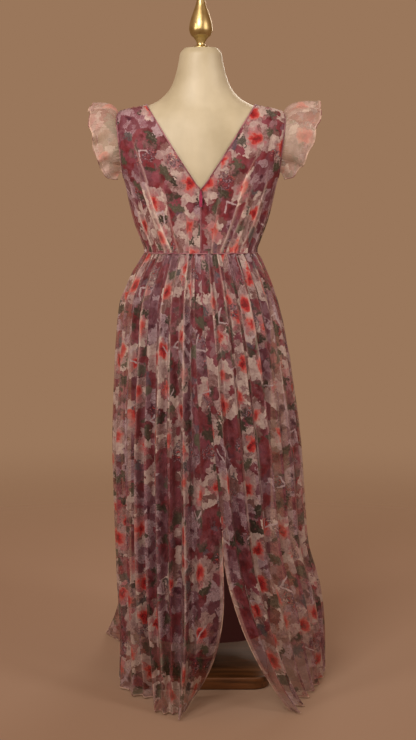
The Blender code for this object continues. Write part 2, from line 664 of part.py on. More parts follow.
def build_zip(finishes, model, tools):
    levels = np.append(SKIRT_SECTIONS[1:TAPE_SECTIONS, 0][::-1], np.linspace(WAIST_Z, ZIP_TOP_Z, 7))
    across, heights = np.meshgrid(np.linspace(-TAPE_HALF, TAPE_HALF, 5), levels)
    bend = across**2 / 0.12
    tape = np.stack([across, tape_depth(heights) + bend, heights], -1)
    cloth_piece("zip_tape", tape, TAPE, finishes["zip"], model)

    width, thick, length = SLIDER_SIZE
    cloth_y = over_form(np.array(270.0), np.array(V_RING), ease_at(V_RING) + CLOTH)[1]
    back_y = cloth_y - SLIDER_LIFT
    slider = box_piece("zip_slider", (-width / 2, back_y - thick, SLIDER_TOP_Z - length),
                       (width / 2, back_y, SLIDER_TOP_Z), finishes["zip"], model, bevel=0.0009)
    hinge_y = back_y - thick - HINGE_RADIUS - SEAM_GAP
    hinge_z = SLIDER_TOP_Z - length / 2
    for side, word in ((-1, "left"), (1, "right")):
        centre = side * (PULL_HEAD / 2 + SEAM_GAP + EAR_THICK / 2)
        ear = box_piece("slider_ear_" + word,
                        (centre - EAR_THICK / 2, hinge_y - HINGE_RADIUS, hinge_z - EAR_HEIGHT / 2),
                        (centre + EAR_THICK / 2, back_y - thick / 2, hinge_z + EAR_HEIGHT / 2),
                        finishes["zip"], model)
        join(slider, ear, tools)

    head = turned("zip_pull_tab", [(0.0, PULL_HEAD / 2), (HINGE_RADIUS, PULL_HEAD / 2),
                                   (HINGE_RADIUS, -PULL_HEAD / 2), (0.0, -PULL_HEAD / 2)],
                  14, finishes["pull"], model)
    head.location = (0.0, hinge_y, hinge_z)
    head.rotation_euler = (0.0, math.radians(90.0), 0.0)
    parts = (("pull_neck", PULL_HEAD, HINGE_RADIUS * 0.2, NECK_LENGTH, 0.0),
             ("pull_blade", PULL_WIDTH, BLADE_START, PULL_LENGTH, BLADE_CORNER))
    for name, blade_width, start, end, bevel in parts:
        blade = box_piece(name, (-blade_width / 2, -PULL_THICK / 2, -end),
                          (blade_width / 2, PULL_THICK / 2, -start), finishes["pull"], model)
        if bevel:
            shape = bmesh.new()
            shape.from_mesh(blade.data)
            edges = [edge for edge in shape.edges
                     if abs(edge.verts[0].co.y - edge.verts[1].co.y) > 1e-6]
            bmesh.ops.bevel(shape, geom=edges, offset=bevel, segments=4, affect="EDGES", profile=0.5)
            shape.to_mesh(blade.data)
            shape.free()
        blade.location = (0.0, hinge_y, hinge_z)
        join(head, blade, tools)


def main():
    for old in list(bpy.data.objects):
        bpy.data.objects.remove(old, do_unlink=True)
    model = bpy.data.collections.new(COLLECTION)
    tools = bpy.data.collections.new(COLLECTION + "_tools")
    bpy.context.scene.collection.children.link(model)
    bpy.context.scene.collection.children.link(tools)
    finishes = {
        "cover": material("form_cover_cotton", (0.68, 0.57, 0.35), 0.75),
        "brass": material("finial_brass", (0.42, 0.31, 0.12), 0.30, 1.0),
        "wood": material("base_wood", (0.30, 0.13, 0.05), 0.45),
        "steel": material("pole_steel", (0.10, 0.10, 0.11), 0.40, 1.0),
        "print": material("printed_mesh", (0.19, 0.05, 0.05), 0.80),
        "sheer": material("printed_mesh_sheer", (0.55, 0.36, 0.28), 0.80),
        "lining": material("lining_crepe", (0.07, 0.008, 0.012), 0.60),
        "zip": material("zip_burgundy", (0.10, 0.02, 0.03), 0.50),
        "pull": material("pull_enamel_pink", (0.60, 0.05, 0.19), 0.35),
    }
    build_form(finishes, model, tools)
    build_stand(finishes, model)
    build_bodice(finishes, model)
    build_skirt(finishes, model)
    build_lining(finishes, model)
    build_zip(finishes, model, tools)


main()
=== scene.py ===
# %% [markdown]
# # An evening gown on its dress form
# This lesson dresses the plain model of a long V-back gown. The real gown is a sheer printed
# mesh over a dark wine lining, gathered at the waist, with two flutter sleeves, and it hangs on
# a limbless dress form with a brass finial. Because the mesh is see-through, the print looks
# pale where nothing is behind it and wine red over the lining. So the lesson builds both
# layers, and lets the render mix them, instead of painting the mixture. Some painted light is
# left all the same: the skirt's lining is a darker copy of the crepe, painted shade for the
# inside of the skirt, and the sleeves' inks are painted paler, for light shining through them.

import math

import bmesh
import bpy
import numpy as np
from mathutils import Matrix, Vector


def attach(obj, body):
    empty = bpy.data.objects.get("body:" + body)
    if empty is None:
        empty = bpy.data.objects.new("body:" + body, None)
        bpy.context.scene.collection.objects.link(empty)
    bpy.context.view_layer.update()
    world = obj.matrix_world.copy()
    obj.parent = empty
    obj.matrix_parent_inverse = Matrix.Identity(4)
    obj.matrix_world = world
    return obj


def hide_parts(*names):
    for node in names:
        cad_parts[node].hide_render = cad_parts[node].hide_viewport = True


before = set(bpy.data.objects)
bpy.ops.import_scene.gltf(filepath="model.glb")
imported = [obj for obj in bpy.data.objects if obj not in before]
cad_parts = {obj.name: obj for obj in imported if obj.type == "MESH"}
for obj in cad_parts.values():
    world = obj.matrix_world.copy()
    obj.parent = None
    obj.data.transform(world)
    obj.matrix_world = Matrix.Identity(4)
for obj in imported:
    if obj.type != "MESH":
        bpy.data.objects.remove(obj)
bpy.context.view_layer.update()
scene = bpy.context.scene

# %% [markdown]
# ## The camera
# The photograph was taken from behind the gown, at chest height and a little downwards. A long
# lens keeps the outline calm. The picture is upright, so the sensor is fitted to its height.

# %% Camera at the photograph's angle
CAMERA_PLACE = (0.0161, -3.5, 1.09)
CAMERA_DIP = 6.22
LENS, SENSOR = 74.04, 36.0

camera = bpy.data.objects.new("camera", bpy.data.cameras.new("camera"))
scene.collection.objects.link(camera)
camera.data.lens = LENS
camera.data.sensor_width = SENSOR
camera.data.sensor_height = SENSOR
camera.location = CAMERA_PLACE
camera.rotation_euler = (math.radians(90.0 - CAMERA_DIP), 0.0, 0.0)
scene.camera = camera
print("camera", CAMERA_PLACE, "tilted down by", CAMERA_DIP, "degrees")

# %% [markdown]
# ## Studio
# A studio rolls paper from the wall to the floor, so there is no corner behind the gown. A wall
# would hide the gown from its other side, so here the paper is a round floor that fades into
# a room of the same brown. Soft lamps stand on the camera's side: a large one high up, and one
# at each side. They are close to the shoulders, so the skirt gets darker towards the floor, as
# in a real studio. One behind keeps the far side readable. First come the few functions that
# all the pieces share: for colours, nodes and meshes.

# %% Colours, nodes and meshes


def linear(hex_colour):
    """sRGB hex to the linear colour that shaders use."""
    parts = [int(hex_colour[i:i + 2], 16) / 255.0 for i in (1, 3, 5)]
    return (*[part / 12.92 if part <= 0.04045 else ((part + 0.055) / 1.055) ** 2.4 for part in parts], 1.0)


def add_node(tree, kind, inputs=(), **settings):
    """Adds one node: settings are its properties, inputs its sockets' values or the sockets to link."""
    node = tree.nodes.new(kind)
    for name, value in settings.items():
        setattr(node, name, value)
    for socket, value in dict(inputs).items():
        if isinstance(value, bpy.types.NodeSocket):
            tree.links.new(value, node.inputs[socket])
        else:
            node.inputs[socket].default_value = value
    return node


def new_material(name):
    """An empty material with its Principled shader, and the tree that it is in."""
    made = bpy.data.materials.new(name)
    made.use_nodes = True
    return made, made.node_tree, made.node_tree.nodes["Principled BSDF"]


def grid_faces(rows, columns, closed=False):
    """Quads of a grid, row by row. Their fronts face out where columns run anticlockwise and rows run up."""
    number = np.arange(rows * columns).reshape(rows, columns)
    if closed:
        number = np.concatenate([number, number[:, :1]], axis=1)
    return np.stack([number[:-1, :-1], number[:-1, 1:], number[1:, 1:], number[1:, :-1]], -1).reshape(-1, 4)


def surface_object(name, points, faces, material, flat=None, extra=()):
    """A smooth-shaded mesh from arrays: points, faces, the flat cloth's place of each point as its
    UV map, and any further number for each point as a named attribute."""
    mesh = bpy.data.meshes.new(name)
    mesh.from_pydata(np.asarray(points).reshape(-1, 3).tolist(), [], [list(face) for face in faces])
    if flat is not None:
        layer = mesh.uv_layers.new(name="flat cloth")
        corners = np.zeros(len(mesh.loops), dtype=np.int32)
        mesh.loops.foreach_get("vertex_index", corners)
        layer.data.foreach_set("uv", np.asarray(flat).reshape(-1, 2)[corners].astype(np.float32).ravel())
    for label, values in dict(extra).items():
        attribute = mesh.attributes.new(label, "FLOAT", "POINT")
        attribute.data.foreach_set("value", np.asarray(values, np.float32).ravel())
    mesh.materials.append(material)
    mesh.shade_smooth()
    made = bpy.data.objects.new(name, mesh)
    scene.collection.objects.link(made)
    return made


def ended_tube(name, shell, first_end, last_end, material):
    """Closed rings of points, with a fan of triangles to one more point at each end."""
    rows, sides = shell.shape[:2]
    bottom, top = np.arange(sides), np.arange(sides) + (rows - 1) * sides
    fans = [[rows * sides, b, a] for a, b in zip(bottom, np.roll(bottom, -1))]
    fans += [[a, b, rows * sides + 1] for a, b in zip(top, np.roll(top, -1))]
    points = np.concatenate([shell.reshape(-1, 3), [first_end, last_end]])
    return surface_object(name, points, grid_faces(rows, sides, closed=True).tolist() + fans, material)


print("linear value of #808080:", round(linear("#808080")[0], 3))

# %% Floor of paper
FLOOR_RADIUS, FADE_FROM, FADE_TO = 4.4, 0.5, 3.6  # metres; it fades between the last two
ROOM_BROWN = "#9A775B"

paper, tree, shader = new_material("studio_paper")
shader.inputs["Base Color"].default_value = linear("#AA8F7B")
shader.inputs["Roughness"].default_value = 0.95
place = add_node(tree, "ShaderNodeTexCoord").outputs["Object"]
away = add_node(tree, "ShaderNodeVectorMath", {0: place}, operation="LENGTH").outputs["Value"]
fade = add_node(tree, "ShaderNodeMapRange", {"Value": away, "From Min": FADE_FROM, "From Max": FADE_TO,
                                             "To Min": 1.0, "To Max": 0.0}, interpolation_type="SMOOTHSTEP")
tree.links.new(fade.outputs["Result"], shader.inputs["Alpha"])
turn = np.arange(96) * math.tau / 96
rings = np.linspace(0.02, FLOOR_RADIUS, 12)[:, None, None]
points = rings * np.stack([np.cos(turn), np.sin(turn), 0 * turn], -1)
faces = grid_faces(12, 96, closed=True)[:, ::-1].tolist() + [list(range(96))]
floor = surface_object("studio_floor", points, faces, paper)
print("floor:", len(floor.data.polygons), "faces")

# %% Soft lamps and the room's own light
LAMPS = (  # name, place, what it faces, width, height, watts, spread in degrees, colour
    ("lamp_high", (-0.75, -2.2, 2.70), (0.0, 0.0, 1.46), 1.0, 0.8, 13.0, 82.0, "#FFF3E6"),
    ("lamp_left", (-2.0, -1.7, 1.9), (0.0, 0.0, 1.40), 0.6, 0.9, 7.5, 110.0, "#FFF1E2"),
    ("lamp_right", (1.9, -1.6, 2.0), (0.0, 0.0, 1.40), 0.6, 0.9, 8.0, 110.0, "#FFF5EA"),
    ("lamp_behind", (0.7, 2.6, 2.1), (0.0, 0.0, 1.10), 1.0, 1.0, 9.0, 120.0, "#FFF3E6"),
)


def towards(place, aim):
    """Rotation that turns a lamp's -Z axis from its place to its aim."""
    return (Vector(aim) - Vector(place)).to_track_quat("-Z", "Y").to_euler()


for name, place, aim, width, height, watts, spread, colour in LAMPS:
    lamp = bpy.data.objects.new(name, bpy.data.lights.new(name, "AREA"))
    lamp.data.shape = "RECTANGLE"
    lamp.data.size, lamp.data.size_y = width, height
    lamp.data.energy = watts
    lamp.data.spread = math.radians(spread)
    lamp.data.color = linear(colour)[:3]
    lamp.location = place
    lamp.rotation_euler = towards(place, aim)
    scene.collection.objects.link(lamp)
world = bpy.data.worlds.new("room")
world.use_nodes = True
world.node_tree.nodes["Background"].inputs["Color"].default_value = linear(ROOM_BROWN)
world.node_tree.nodes["Background"].inputs["Strength"].default_value = 1.0
scene.world = world
scene.view_settings.view_transform = "Standard"
print("lamps:", ", ".join(name for name, *_ in LAMPS))

# %% [markdown]
# ## The sizes that the gown was cut to
# These are the same tables as in the plain model. The dress form is a stack of rings, and each
# ring has its own height at the sides, the back and the front, so the rings climb over the
# shoulders. The bodice is the form moved out by its ease. The skirt goes through plan sections.

# %% Tables of the form and the bodice
WAIST_Z, HEM_Z = 0.980, 0.004
CLOTH, SEAM_GAP = 0.0015, 0.0003
V_POINT_Z, SLIT_TOP_Z, NECK_TOP_Z = 1.122, 0.375, 1.440
NECK_POINT = (0.120, 1.310)  # x and z of the V's top at the shoulder
RULE = 0.92  # power that squares the sections a little

# Columns: half width, side z, back depth, back z, front depth, front z, ease of the cloth
FORM_RINGS = np.array([
    (0.146, 0.800, 0.108, 0.800, 0.104, 0.800, 0.0045),
    (0.156, 0.840, 0.116, 0.840, 0.108, 0.840, 0.0045),
    (0.151, 0.880, 0.113, 0.880, 0.105, 0.880, 0.0045),
    (0.138, 0.930, 0.101, 0.930, 0.098, 0.930, 0.0045),
    (0.1215, 0.980, 0.089, 0.980, 0.090, 0.980, 0.0045),
    (0.129, 1.010, 0.089, 1.010, 0.096, 1.010, 0.0045),
    (0.1455, 1.052, 0.093, 1.052, 0.108, 1.055, 0.0040),
    (0.1575, 1.095, 0.097, 1.095, 0.120, 1.100, 0.0036),
    (0.167, 1.135, 0.100, 1.132, 0.127, 1.140, 0.0032),
    (0.178, 1.165, 0.101, 1.160, 0.124, 1.170, 0.0030),
    (0.191, 1.197, 0.100, 1.185, 0.116, 1.195, 0.0030),
    (0.198, 1.235, 0.098, 1.213, 0.105, 1.220, 0.0030),
    (0.195, 1.270, 0.093, 1.243, 0.092, 1.242, 0.0026),
    (0.184, 1.294, 0.085, 1.270, 0.080, 1.262, 0.0018),
    (0.158, 1.304, 0.077, 1.290, 0.070, 1.278, 0.0009),
    (0.130, 1.3085, 0.070, 1.305, 0.064, 1.290, 0.0019),
    (0.102, 1.320, 0.065, 1.318, 0.060, 1.302, 0.0026),
    (0.081, 1.336, 0.061, 1.332, 0.058, 1.318, 0.0025),
    (0.066, 1.357, 0.057, 1.353, 0.056, 1.343, 0.0025),
    (0.056, 1.385, 0.0525, 1.383, 0.053, 1.378, 0.0025),
    (0.050, 1.412, 0.0495, 1.411, 0.0495, 1.409, 0.0025),
    (0.047, 1.428, 0.0465, 1.428, 0.0465, 1.427, 0.0025),
    (0.038, NECK_TOP_Z, 0.038, NECK_TOP_Z, 0.038, NECK_TOP_Z, 0.0025),
])
# Where the bodice's edges lie, counted in rings
WAIST_RING, V_RING, UNDERARM_RING, SHOULDER_RING, NECK_RING = 4.0, 7.75, 8.45, 13.0, 15.35
FRONT_NECK_RING = 10.0
STUB_CENTRE, STUB_RADII, STUB_SQUARENESS = (0.184, 0.0, 1.231), (0.051, 0.040, 0.053), 0.88  # arm caps
ARMHOLE_ANGLE = 24.0  # degrees from the side seam to the armhole's edge, at its middle
# Folds across a panel, their depth at the waist, gathers at the shoulder seam, their depth
BACK_FOLDS, FRONT_FOLDS = (6, 0.0042, 6, 0.0013), (5, 0.0036, 0, 0.0)
SIDE_SEAM_SHARE, CENTRE_SEAM_SHARE = 0.44, 0.46  # share of a panel's height that the seam takes
ROW_CROWDING = 1.5  # above 1 the rows lie closer towards the shoulder


def cubic(here, there, leave, arrive, part):
    """The cubic between two points with the slopes leave and arrive, at a part of the way, 0 to 1."""
    return (here * (2 * part**3 - 3 * part**2 + 1) + leave * (part**3 - 2 * part**2 + part)
            + there * (3 * part**2 - 2 * part**3) + arrive * (part**3 - part**2))


def smooth_rows(table, row):
    """The table's columns at fractional rows, by a cubic through the rows on either side."""
    row = np.asarray(row, float)
    low = np.clip(np.floor(row).astype(int), 0, len(table) - 2)
    part = (row - low).reshape(row.shape + (1,) * (table.ndim - 1))
    before, after = table[np.maximum(low - 1, 0)], table[np.minimum(low + 2, len(table) - 1)]
    here, there = table[low], table[low + 1]
    first = (low == 0).reshape(part.shape)
    last = (low == len(table) - 2).reshape(part.shape)
    leave = np.where(first, there - here, (there - before) / 2)
    arrive = np.where(last, there - here, (after - here) / 2)
    return cubic(here, there, leave, arrive, part)


def squared(value):
    """A sine or cosine with its sign kept and its size raised to RULE, which squares a section a little."""
    return np.sign(value) * np.abs(value) ** RULE


def form_point(angle, ring):
    """A point of the dress form: x = width * cos, y = depth * sin, z from middle to side by cos^2."""
    width, side_z, back, back_z, front, front_z, _ = np.moveaxis(smooth_rows(FORM_RINGS, ring), -1, 0)
    turn = np.radians(angle)
    cosine, sine = np.cos(turn), np.sin(turn)
    depth = np.where(sine < 0, back, front)
    middle_z = np.where(sine < 0, back_z, front_z)
    return np.stack([width * squared(cosine), depth * squared(sine),
                     middle_z + (side_z - middle_z) * cosine**2], -1)


def form_outward(angle, ring):
    """The form's outward direction: the cross product of a step round and a step up, level at the waist."""
    around = form_point(angle + 0.5, ring) - form_point(angle - 0.5, ring)
    up = form_point(angle, ring + 0.02) - form_point(angle, ring - 0.02)
    normal = np.cross(around, up)
    normal[..., 2] *= np.clip((ring - WAIST_RING) / 2.0, 0.0, 1.0)
    return normal / np.linalg.norm(normal, axis=-1, keepdims=True)


def over_form(angle, ring, out):
    """The form's point, moved out along its normal."""
    return form_point(angle, ring) + form_outward(angle, ring) * np.asarray(out)[..., None]


def ease_at(ring):
    """How far the cloth's inside lies off the form."""
    return smooth_rows(FORM_RINGS, ring)[..., 6]


middle = form_point(np.array(270.0), np.array(V_RING))
print("form at the point of the V:", np.round(middle, 4))

# %% [markdown]
# ## The dress form
# The real form is a padded shell under a tight cover of cream satin. Its two rounded caps close
# the armholes. One dense surface through the rings makes the torso, and two balls with slightly
# squared sides make the caps. A Boolean joins them, because the caps stand half inside.

# %% Satin cover
TWILL_SCALE = 1000.0 / 6.2  # satin threads are 0.3 mm apart; this draws them 2 to 3 mm apart


def satin_cover():
    """Cream satin-backed cotton, stretched: soft sheen, faint yellowing, a fine twill of threads."""
    made, tree, shader = new_material("satin_cotton_cover_cream")
    place = add_node(tree, "ShaderNodeTexCoord").outputs["Object"]
    patches = add_node(tree, "ShaderNodeTexNoise", {"Vector": place, "Scale": 9.0, "Detail": 4.0})
    colour = add_node(tree, "ShaderNodeValToRGB", {"Fac": patches.outputs["Fac"]})
    colour.color_ramp.elements[0].position = 0.30
    colour.color_ramp.elements[0].color = linear("#A69C82")
    colour.color_ramp.elements[1].position = 0.62
    colour.color_ramp.elements[1].color = linear("#B9B19A")
    drawn = add_node(tree, "ShaderNodeMapping", {"Vector": place, "Scale": (30.0, 30.0, 3.5)})
    drag_lines_and_shade = add_node(tree, "ShaderNodeTexNoise", {"Vector": drawn.outputs[0], "Scale": 1.0, "Detail": 3.0})
    # The drag lines are bumps, and the same noise makes the cover darker in their troughs and paler on their
    # crests: painted shade and highlight
    tone = add_node(tree, "ShaderNodeMapRange", {"Value": drag_lines_and_shade.outputs["Fac"], "From Min": 0.3,
                                                 "From Max": 0.7, "To Min": 0.93, "To Max": 1.03})
    tinted = add_node(tree, "ShaderNodeVectorMath", {0: colour.outputs["Color"], "Scale": tone.outputs[0]},
                      operation="SCALE")
    tree.links.new(tinted.outputs[0], shader.inputs["Base Color"])
    threads = add_node(tree, "ShaderNodeTexWave", {"Vector": place, "Scale": TWILL_SCALE,
                                                   "Distortion": 0.4}, bands_direction="DIAGONAL")
    heights = add_node(tree, "ShaderNodeMath", {0: threads.outputs["Fac"], 1: drag_lines_and_shade.outputs["Fac"]},
                       operation="ADD")
    bump = add_node(tree, "ShaderNodeBump", {"Height": heights.outputs[0], "Strength": 0.25,
                                             "Distance": 0.0004})
    tree.links.new(bump.outputs[0], shader.inputs["Normal"])
    shader.inputs["Roughness"].default_value = 0.46
    shader.inputs["Sheen Weight"].default_value = 0.35
    shader.inputs["Sheen Roughness"].default_value = 0.4
    shader.inputs["Sheen Tint"].default_value = linear("#FFF6E0")
    return made


cover = satin_cover()
print("cover:", cover.name)

# %% Torso with its arm caps


def form_torso():
    """Rings of form_point, closed by a point at each end, with the two arm caps joined on."""
    rings = np.linspace(0.0, len(FORM_RINGS) - 1.0, 155)
    angles = np.arange(112) * 360.0 / 112
    shell = form_point(angles[None, :] + 0 * rings[:, None], rings[:, None] + 0 * angles[None, :])
    torso = ended_tube("dress_form_torso", shell, shell[0].mean(axis=0), shell[-1].mean(axis=0), cover)
    caps = []
    for side in (-1, 1):
        mesh = bpy.data.meshes.new("arm_cap")
        ball = bmesh.new()
        bmesh.ops.create_uvsphere(ball, u_segments=56, v_segments=36, radius=1.0)
        ball.to_mesh(mesh)
        ball.free()
        unit = np.zeros(len(mesh.vertices) * 3, np.float32)
        mesh.vertices.foreach_get("co", unit)
        unit = unit.reshape(-1, 3)
        placed = np.sign(unit) * np.abs(unit) ** STUB_SQUARENESS * STUB_RADII
        placed = placed + np.array(STUB_CENTRE) * (side, 1, 1)
        mesh.vertices.foreach_set("co", placed.astype(np.float32).ravel())
        cap = bpy.data.objects.new("arm_cap", mesh)
        scene.collection.objects.link(cap)
        union = torso.modifiers.new("join", "BOOLEAN")
        union.operation, union.solver, union.object = "UNION", "EXACT", cap
        caps.append(cap)
    bpy.context.view_layer.update()
    joined = bpy.data.meshes.new_from_object(torso.evaluated_get(bpy.context.evaluated_depsgraph_get()))
    torso.modifiers.clear()
    torso.data = joined
    torso.data.materials.clear()
    torso.data.materials.append(cover)
    torso.data.shade_smooth()
    for cap in caps:
        bpy.data.objects.remove(cap, do_unlink=True)
    return torso


torso = form_torso()
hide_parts("form_torso")
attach(torso, "gown")
print("torso faces:", len(torso.data.polygons))

# %% [markdown]
# ## Finial, pole and base
# The finial is spun brass under lacquer, so a turned profile is how the real one was made too.
# A profile is carried round an axis, with the points between its corners from the same cubic.

# %% Turned pieces
FINIAL_PROFILE = np.array([  # radius, height above the neck
    (0.0, 0.0003), (0.0170, 0.0003), (0.0170, 0.0045), (0.0105, 0.0060), (0.0097, 0.0130), (0.0160, 0.0230),
    (0.0224, 0.0290), (0.0260, 0.0380), (0.0265, 0.0450), (0.0252, 0.0555), (0.0222, 0.0670),
    (0.0170, 0.0820), (0.0118, 0.0965), (0.0086, 0.1100), (0.0050, 0.1250), (0.0, 0.1295)])
POLE_RADIUS = 0.0125
BASE_SIZE, BASE_CORNER, BASE_EDGE = (0.310, 0.328, 0.028), 0.040, 0.004
POLE_PROFILE = np.array([  # radius, height
    (0.0, 0.0283), (0.035, 0.0283), (0.034, 0.0363), (0.022, 0.0463), (POLE_RADIUS, 0.0583),
    (POLE_RADIUS, 0.400), (POLE_RADIUS, 0.7837), (0.040, 0.7917), (0.042, 0.7957), (0.040, 0.7997),
    (0.0, 0.7997)])


def turned(name, profile, material, sides):
    """A profile of radius and height, bottom to top, carried once round Z: x = r cos, y = r sin."""
    ring = profile[1:-1]
    turn = np.arange(sides) * math.tau / sides
    shell = np.stack([ring[:, :1] * np.cos(turn), ring[:, :1] * np.sin(turn),
                      ring[:, 1:] + 0 * turn], -1)
    return ended_tube(name, shell, (0, 0, profile[0, 1]), (0, 0, profile[-1, 1]), material)


def lacquered_brass():
    """Spun brass under satin lacquer: warm metal, rings from the spinning, a few dull finger marks."""
    made, tree, shader = new_material("spun_brass_lacquered")
    place = add_node(tree, "ShaderNodeTexCoord").outputs["Object"]
    marks = add_node(tree, "ShaderNodeTexNoise", {"Vector": place, "Scale": 55.0, "Detail": 5.0})
    dull = add_node(tree, "ShaderNodeMapRange", {"Value": marks.outputs["Fac"], "From Min": 0.35,
                                                 "From Max": 0.75, "To Min": 0.32, "To Max": 0.48})
    tree.links.new(dull.outputs[0], shader.inputs["Roughness"])
    tone = add_node(tree, "ShaderNodeMix", {"Factor": marks.outputs["Fac"], "A": linear("#AE9B66"),
                                            "B": linear("#C8B383")}, data_type="RGBA")
    tree.links.new(tone.outputs["Result"], shader.inputs["Base Color"])
    rings = add_node(tree, "ShaderNodeTexWave", {"Vector": place, "Scale": 160.0, "Distortion": 0.6},
                     bands_direction="Z")
    bump = add_node(tree, "ShaderNodeBump", {"Height": rings.outputs["Fac"], "Strength": 0.05,
                                             "Distance": 0.0002})
    tree.links.new(bump.outputs[0], shader.inputs["Normal"])
    shader.inputs["Metallic"].default_value = 1.0
    return made


def brushed_steel():
    """Steel tube, brushed along its length: fine upright scratches in its roughness."""
    made, tree, shader = new_material("brushed_steel_tube")
    place = add_node(tree, "ShaderNodeTexCoord").outputs["Object"]
    drawn = add_node(tree, "ShaderNodeMapping", {"Vector": place, "Scale": (900.0, 900.0, 9.0)})
    scratches = add_node(tree, "ShaderNodeTexNoise", {"Vector": drawn.outputs[0], "Scale": 1.0,
                                                      "Detail": 3.0})
    dull = add_node(tree, "ShaderNodeMapRange", {"Value": scratches.outputs["Fac"], "To Min": 0.28,
                                                 "To Max": 0.52})
    tree.links.new(dull.outputs[0], shader.inputs["Roughness"])
    shader.inputs["Base Color"].default_value = linear("#9C9A97")
    shader.inputs["Metallic"].default_value = 1.0
    return made


finial_profile = FINIAL_PROFILE + np.array([0.0, NECK_TOP_Z])
finial = turned("brass_finial", np.concatenate([finial_profile[:4], smooth_rows(
    finial_profile[3:], np.linspace(0, 12, 61))[1:]]), lacquered_brass(), sides=72)
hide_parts("finial")
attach(finial, "gown")
pole = turned("steel_pole", POLE_PROFILE, brushed_steel(), sides=48)
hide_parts("stand_pole")
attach(pole, "gown")
print("finial faces:", len(finial.data.polygons), "pole faces:", len(pole.data.polygons))

# %% [markdown]
# The base is a thick wooden plate with round corners and an eased edge. Its outline is a
# rounded rectangle, and the same outline, drawn in a little, gives each step of the rounding.

# %% Wooden base


def stained_wood():
    """Stained and waxed hardwood: grain along X, some 14 mm wide with finer lines in it, and pores."""
    made, tree, shader = new_material("stained_hardwood_waxed")
    place = add_node(tree, "ShaderNodeTexCoord").outputs["Object"]
    drawn = add_node(tree, "ShaderNodeMapping", {"Vector": place, "Scale": (5.0, 70.0, 70.0)})
    bend = add_node(tree, "ShaderNodeTexNoise", {"Vector": drawn.outputs[0], "Scale": 1.0, "Detail": 6.0,
                                                 "Distortion": 1.2})
    grain = add_node(tree, "ShaderNodeValToRGB", {"Fac": bend.outputs["Fac"]})
    grain.color_ramp.elements[0].position = 0.34
    grain.color_ramp.elements[0].color = linear("#47290F")
    grain.color_ramp.elements[1].position = 0.66
    grain.color_ramp.elements[1].color = linear("#7A4C28")
    tree.links.new(grain.outputs["Color"], shader.inputs["Base Color"])
    pores = add_node(tree, "ShaderNodeMapping", {"Vector": place, "Scale": (30.0, 600.0, 600.0)})
    fine = add_node(tree, "ShaderNodeTexNoise", {"Vector": pores.outputs[0], "Scale": 1.0, "Detail": 2.0})
    bump = add_node(tree, "ShaderNodeBump", {"Height": fine.outputs["Fac"], "Strength": 0.3,
                                             "Distance": 0.0003})
    tree.links.new(bump.outputs[0], shader.inputs["Normal"])
    shader.inputs["Roughness"].default_value = 0.42
    shader.inputs["Coat Weight"].default_value = 0.15
    return made


def rounded_plate(name, size, corner, edge, material):
    """Rings of a rounded rectangle: each ring is drawn in by what a quarter circle of the edge gives."""
    width, depth, height = size
    turn = np.linspace(0, math.tau, 97)[:-1]
    centre = np.column_stack([np.sign(np.cos(turn)) * (width / 2 - corner),
                              np.sign(np.sin(turn)) * (depth / 2 - corner)])
    direction = np.column_stack([np.cos(turn), np.sin(turn)])
    ease = np.linspace(0, math.pi / 2, 7)
    steps = [(edge * (1 - math.sin(a)), edge * (1 - math.cos(a))) for a in ease]
    steps += [(edge * (1 - math.cos(a)), height - edge * (1 - math.sin(a))) for a in ease]
    rings = [np.column_stack([centre + direction * (corner - inward), np.full(len(turn), z)])
             for inward, z in steps]
    return ended_tube(name, np.array(rings), (0, 0, 0.0), (0, 0, height), material)


base = rounded_plate("wooden_base", BASE_SIZE, BASE_CORNER, BASE_EDGE, stained_wood())
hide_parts("stand_base")
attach(base, "gown")
print("base faces:", len(base.data.polygons))

# %% [markdown]
# ## The printed mesh
# The cloth is a sheer polyester mesh with inks printed on it. Each ink has a colour and a
# cover: how much of what lies behind it is hidden. The wine ground and the mauve petals cover
# about half, so the wine lining comes through them; roses cover more, their red hearts and the
# leaves most. The print is painted in dabs, one to a cell of a Voronoi pattern, bent by noise
# so that they look brushed. A second, larger pattern has a flower in each cell, and a dab
# belongs to a flower when its own middle does. So a flower's rim follows whole petals, and no
# flower has a round outline. They are plain garden roses and blossoms, laid out by the
# pattern, in metres of the flat cloth.

# %% Sizes of the print
MOTIFS = {  # spacing in metres, where the pattern starts
    "dab": (0.0165, (3.37, 7.71, 0.0)),
    "flower": (0.083, (0.43, 0.27, 0.0)),
    "leaf": (0.053, (5.7, 13.1, 0.0)),
    "stem": (0.155, (17.9, 4.3, 0.0)),
    "berry": (0.0062, (23.3, 9.1, 0.0)),
}


def nearest_cell(tree, place, name, lively=1.0):
    """Nearest cell of a pattern: the place in cells, the Voronoi node and the cell's three random numbers."""
    spacing, start = MOTIFS[name]
    scaled = add_node(tree, "ShaderNodeMapping", {"Vector": place, "Scale": (1 / spacing, 1 / spacing, 1.0),
                                                  "Location": start}).outputs[0]
    cell = add_node(tree, "ShaderNodeTexVoronoi", {"Vector": scaled, "Scale": 1.0, "Randomness": lively},
                    voronoi_dimensions="2D")
    chance = add_node(tree, "ShaderNodeSeparateColor", {"Color": cell.outputs["Color"]})
    return scaled, cell, chance.outputs


def step_down(tree, value, edge, softness):
    """1 below the edge and 0 above it, with a soft step between."""
    return add_node(tree, "ShaderNodeMapRange", {"Value": value, "From Min": edge + softness,
                                                 "From Max": edge - softness},
                    interpolation_type="SMOOTHSTEP").outputs["Result"]


def ink_ramp(tree, value, stops, hard=False):
    """Colours at places along a value, blended, or with hard steps."""
    ramp = add_node(tree, "ShaderNodeValToRGB", {"Fac": value})
    ramp.color_ramp.interpolation = "CONSTANT" if hard else "LINEAR"
    while len(ramp.color_ramp.elements) < len(stops):
        ramp.color_ramp.elements.new(0.5)
    for element, (place, colour) in zip(ramp.color_ramp.elements, stops):
        element.position = place
        element.color = linear(colour) if isinstance(colour, str) else (colour, colour, colour, 1.0)
    return ramp.outputs["Color"]


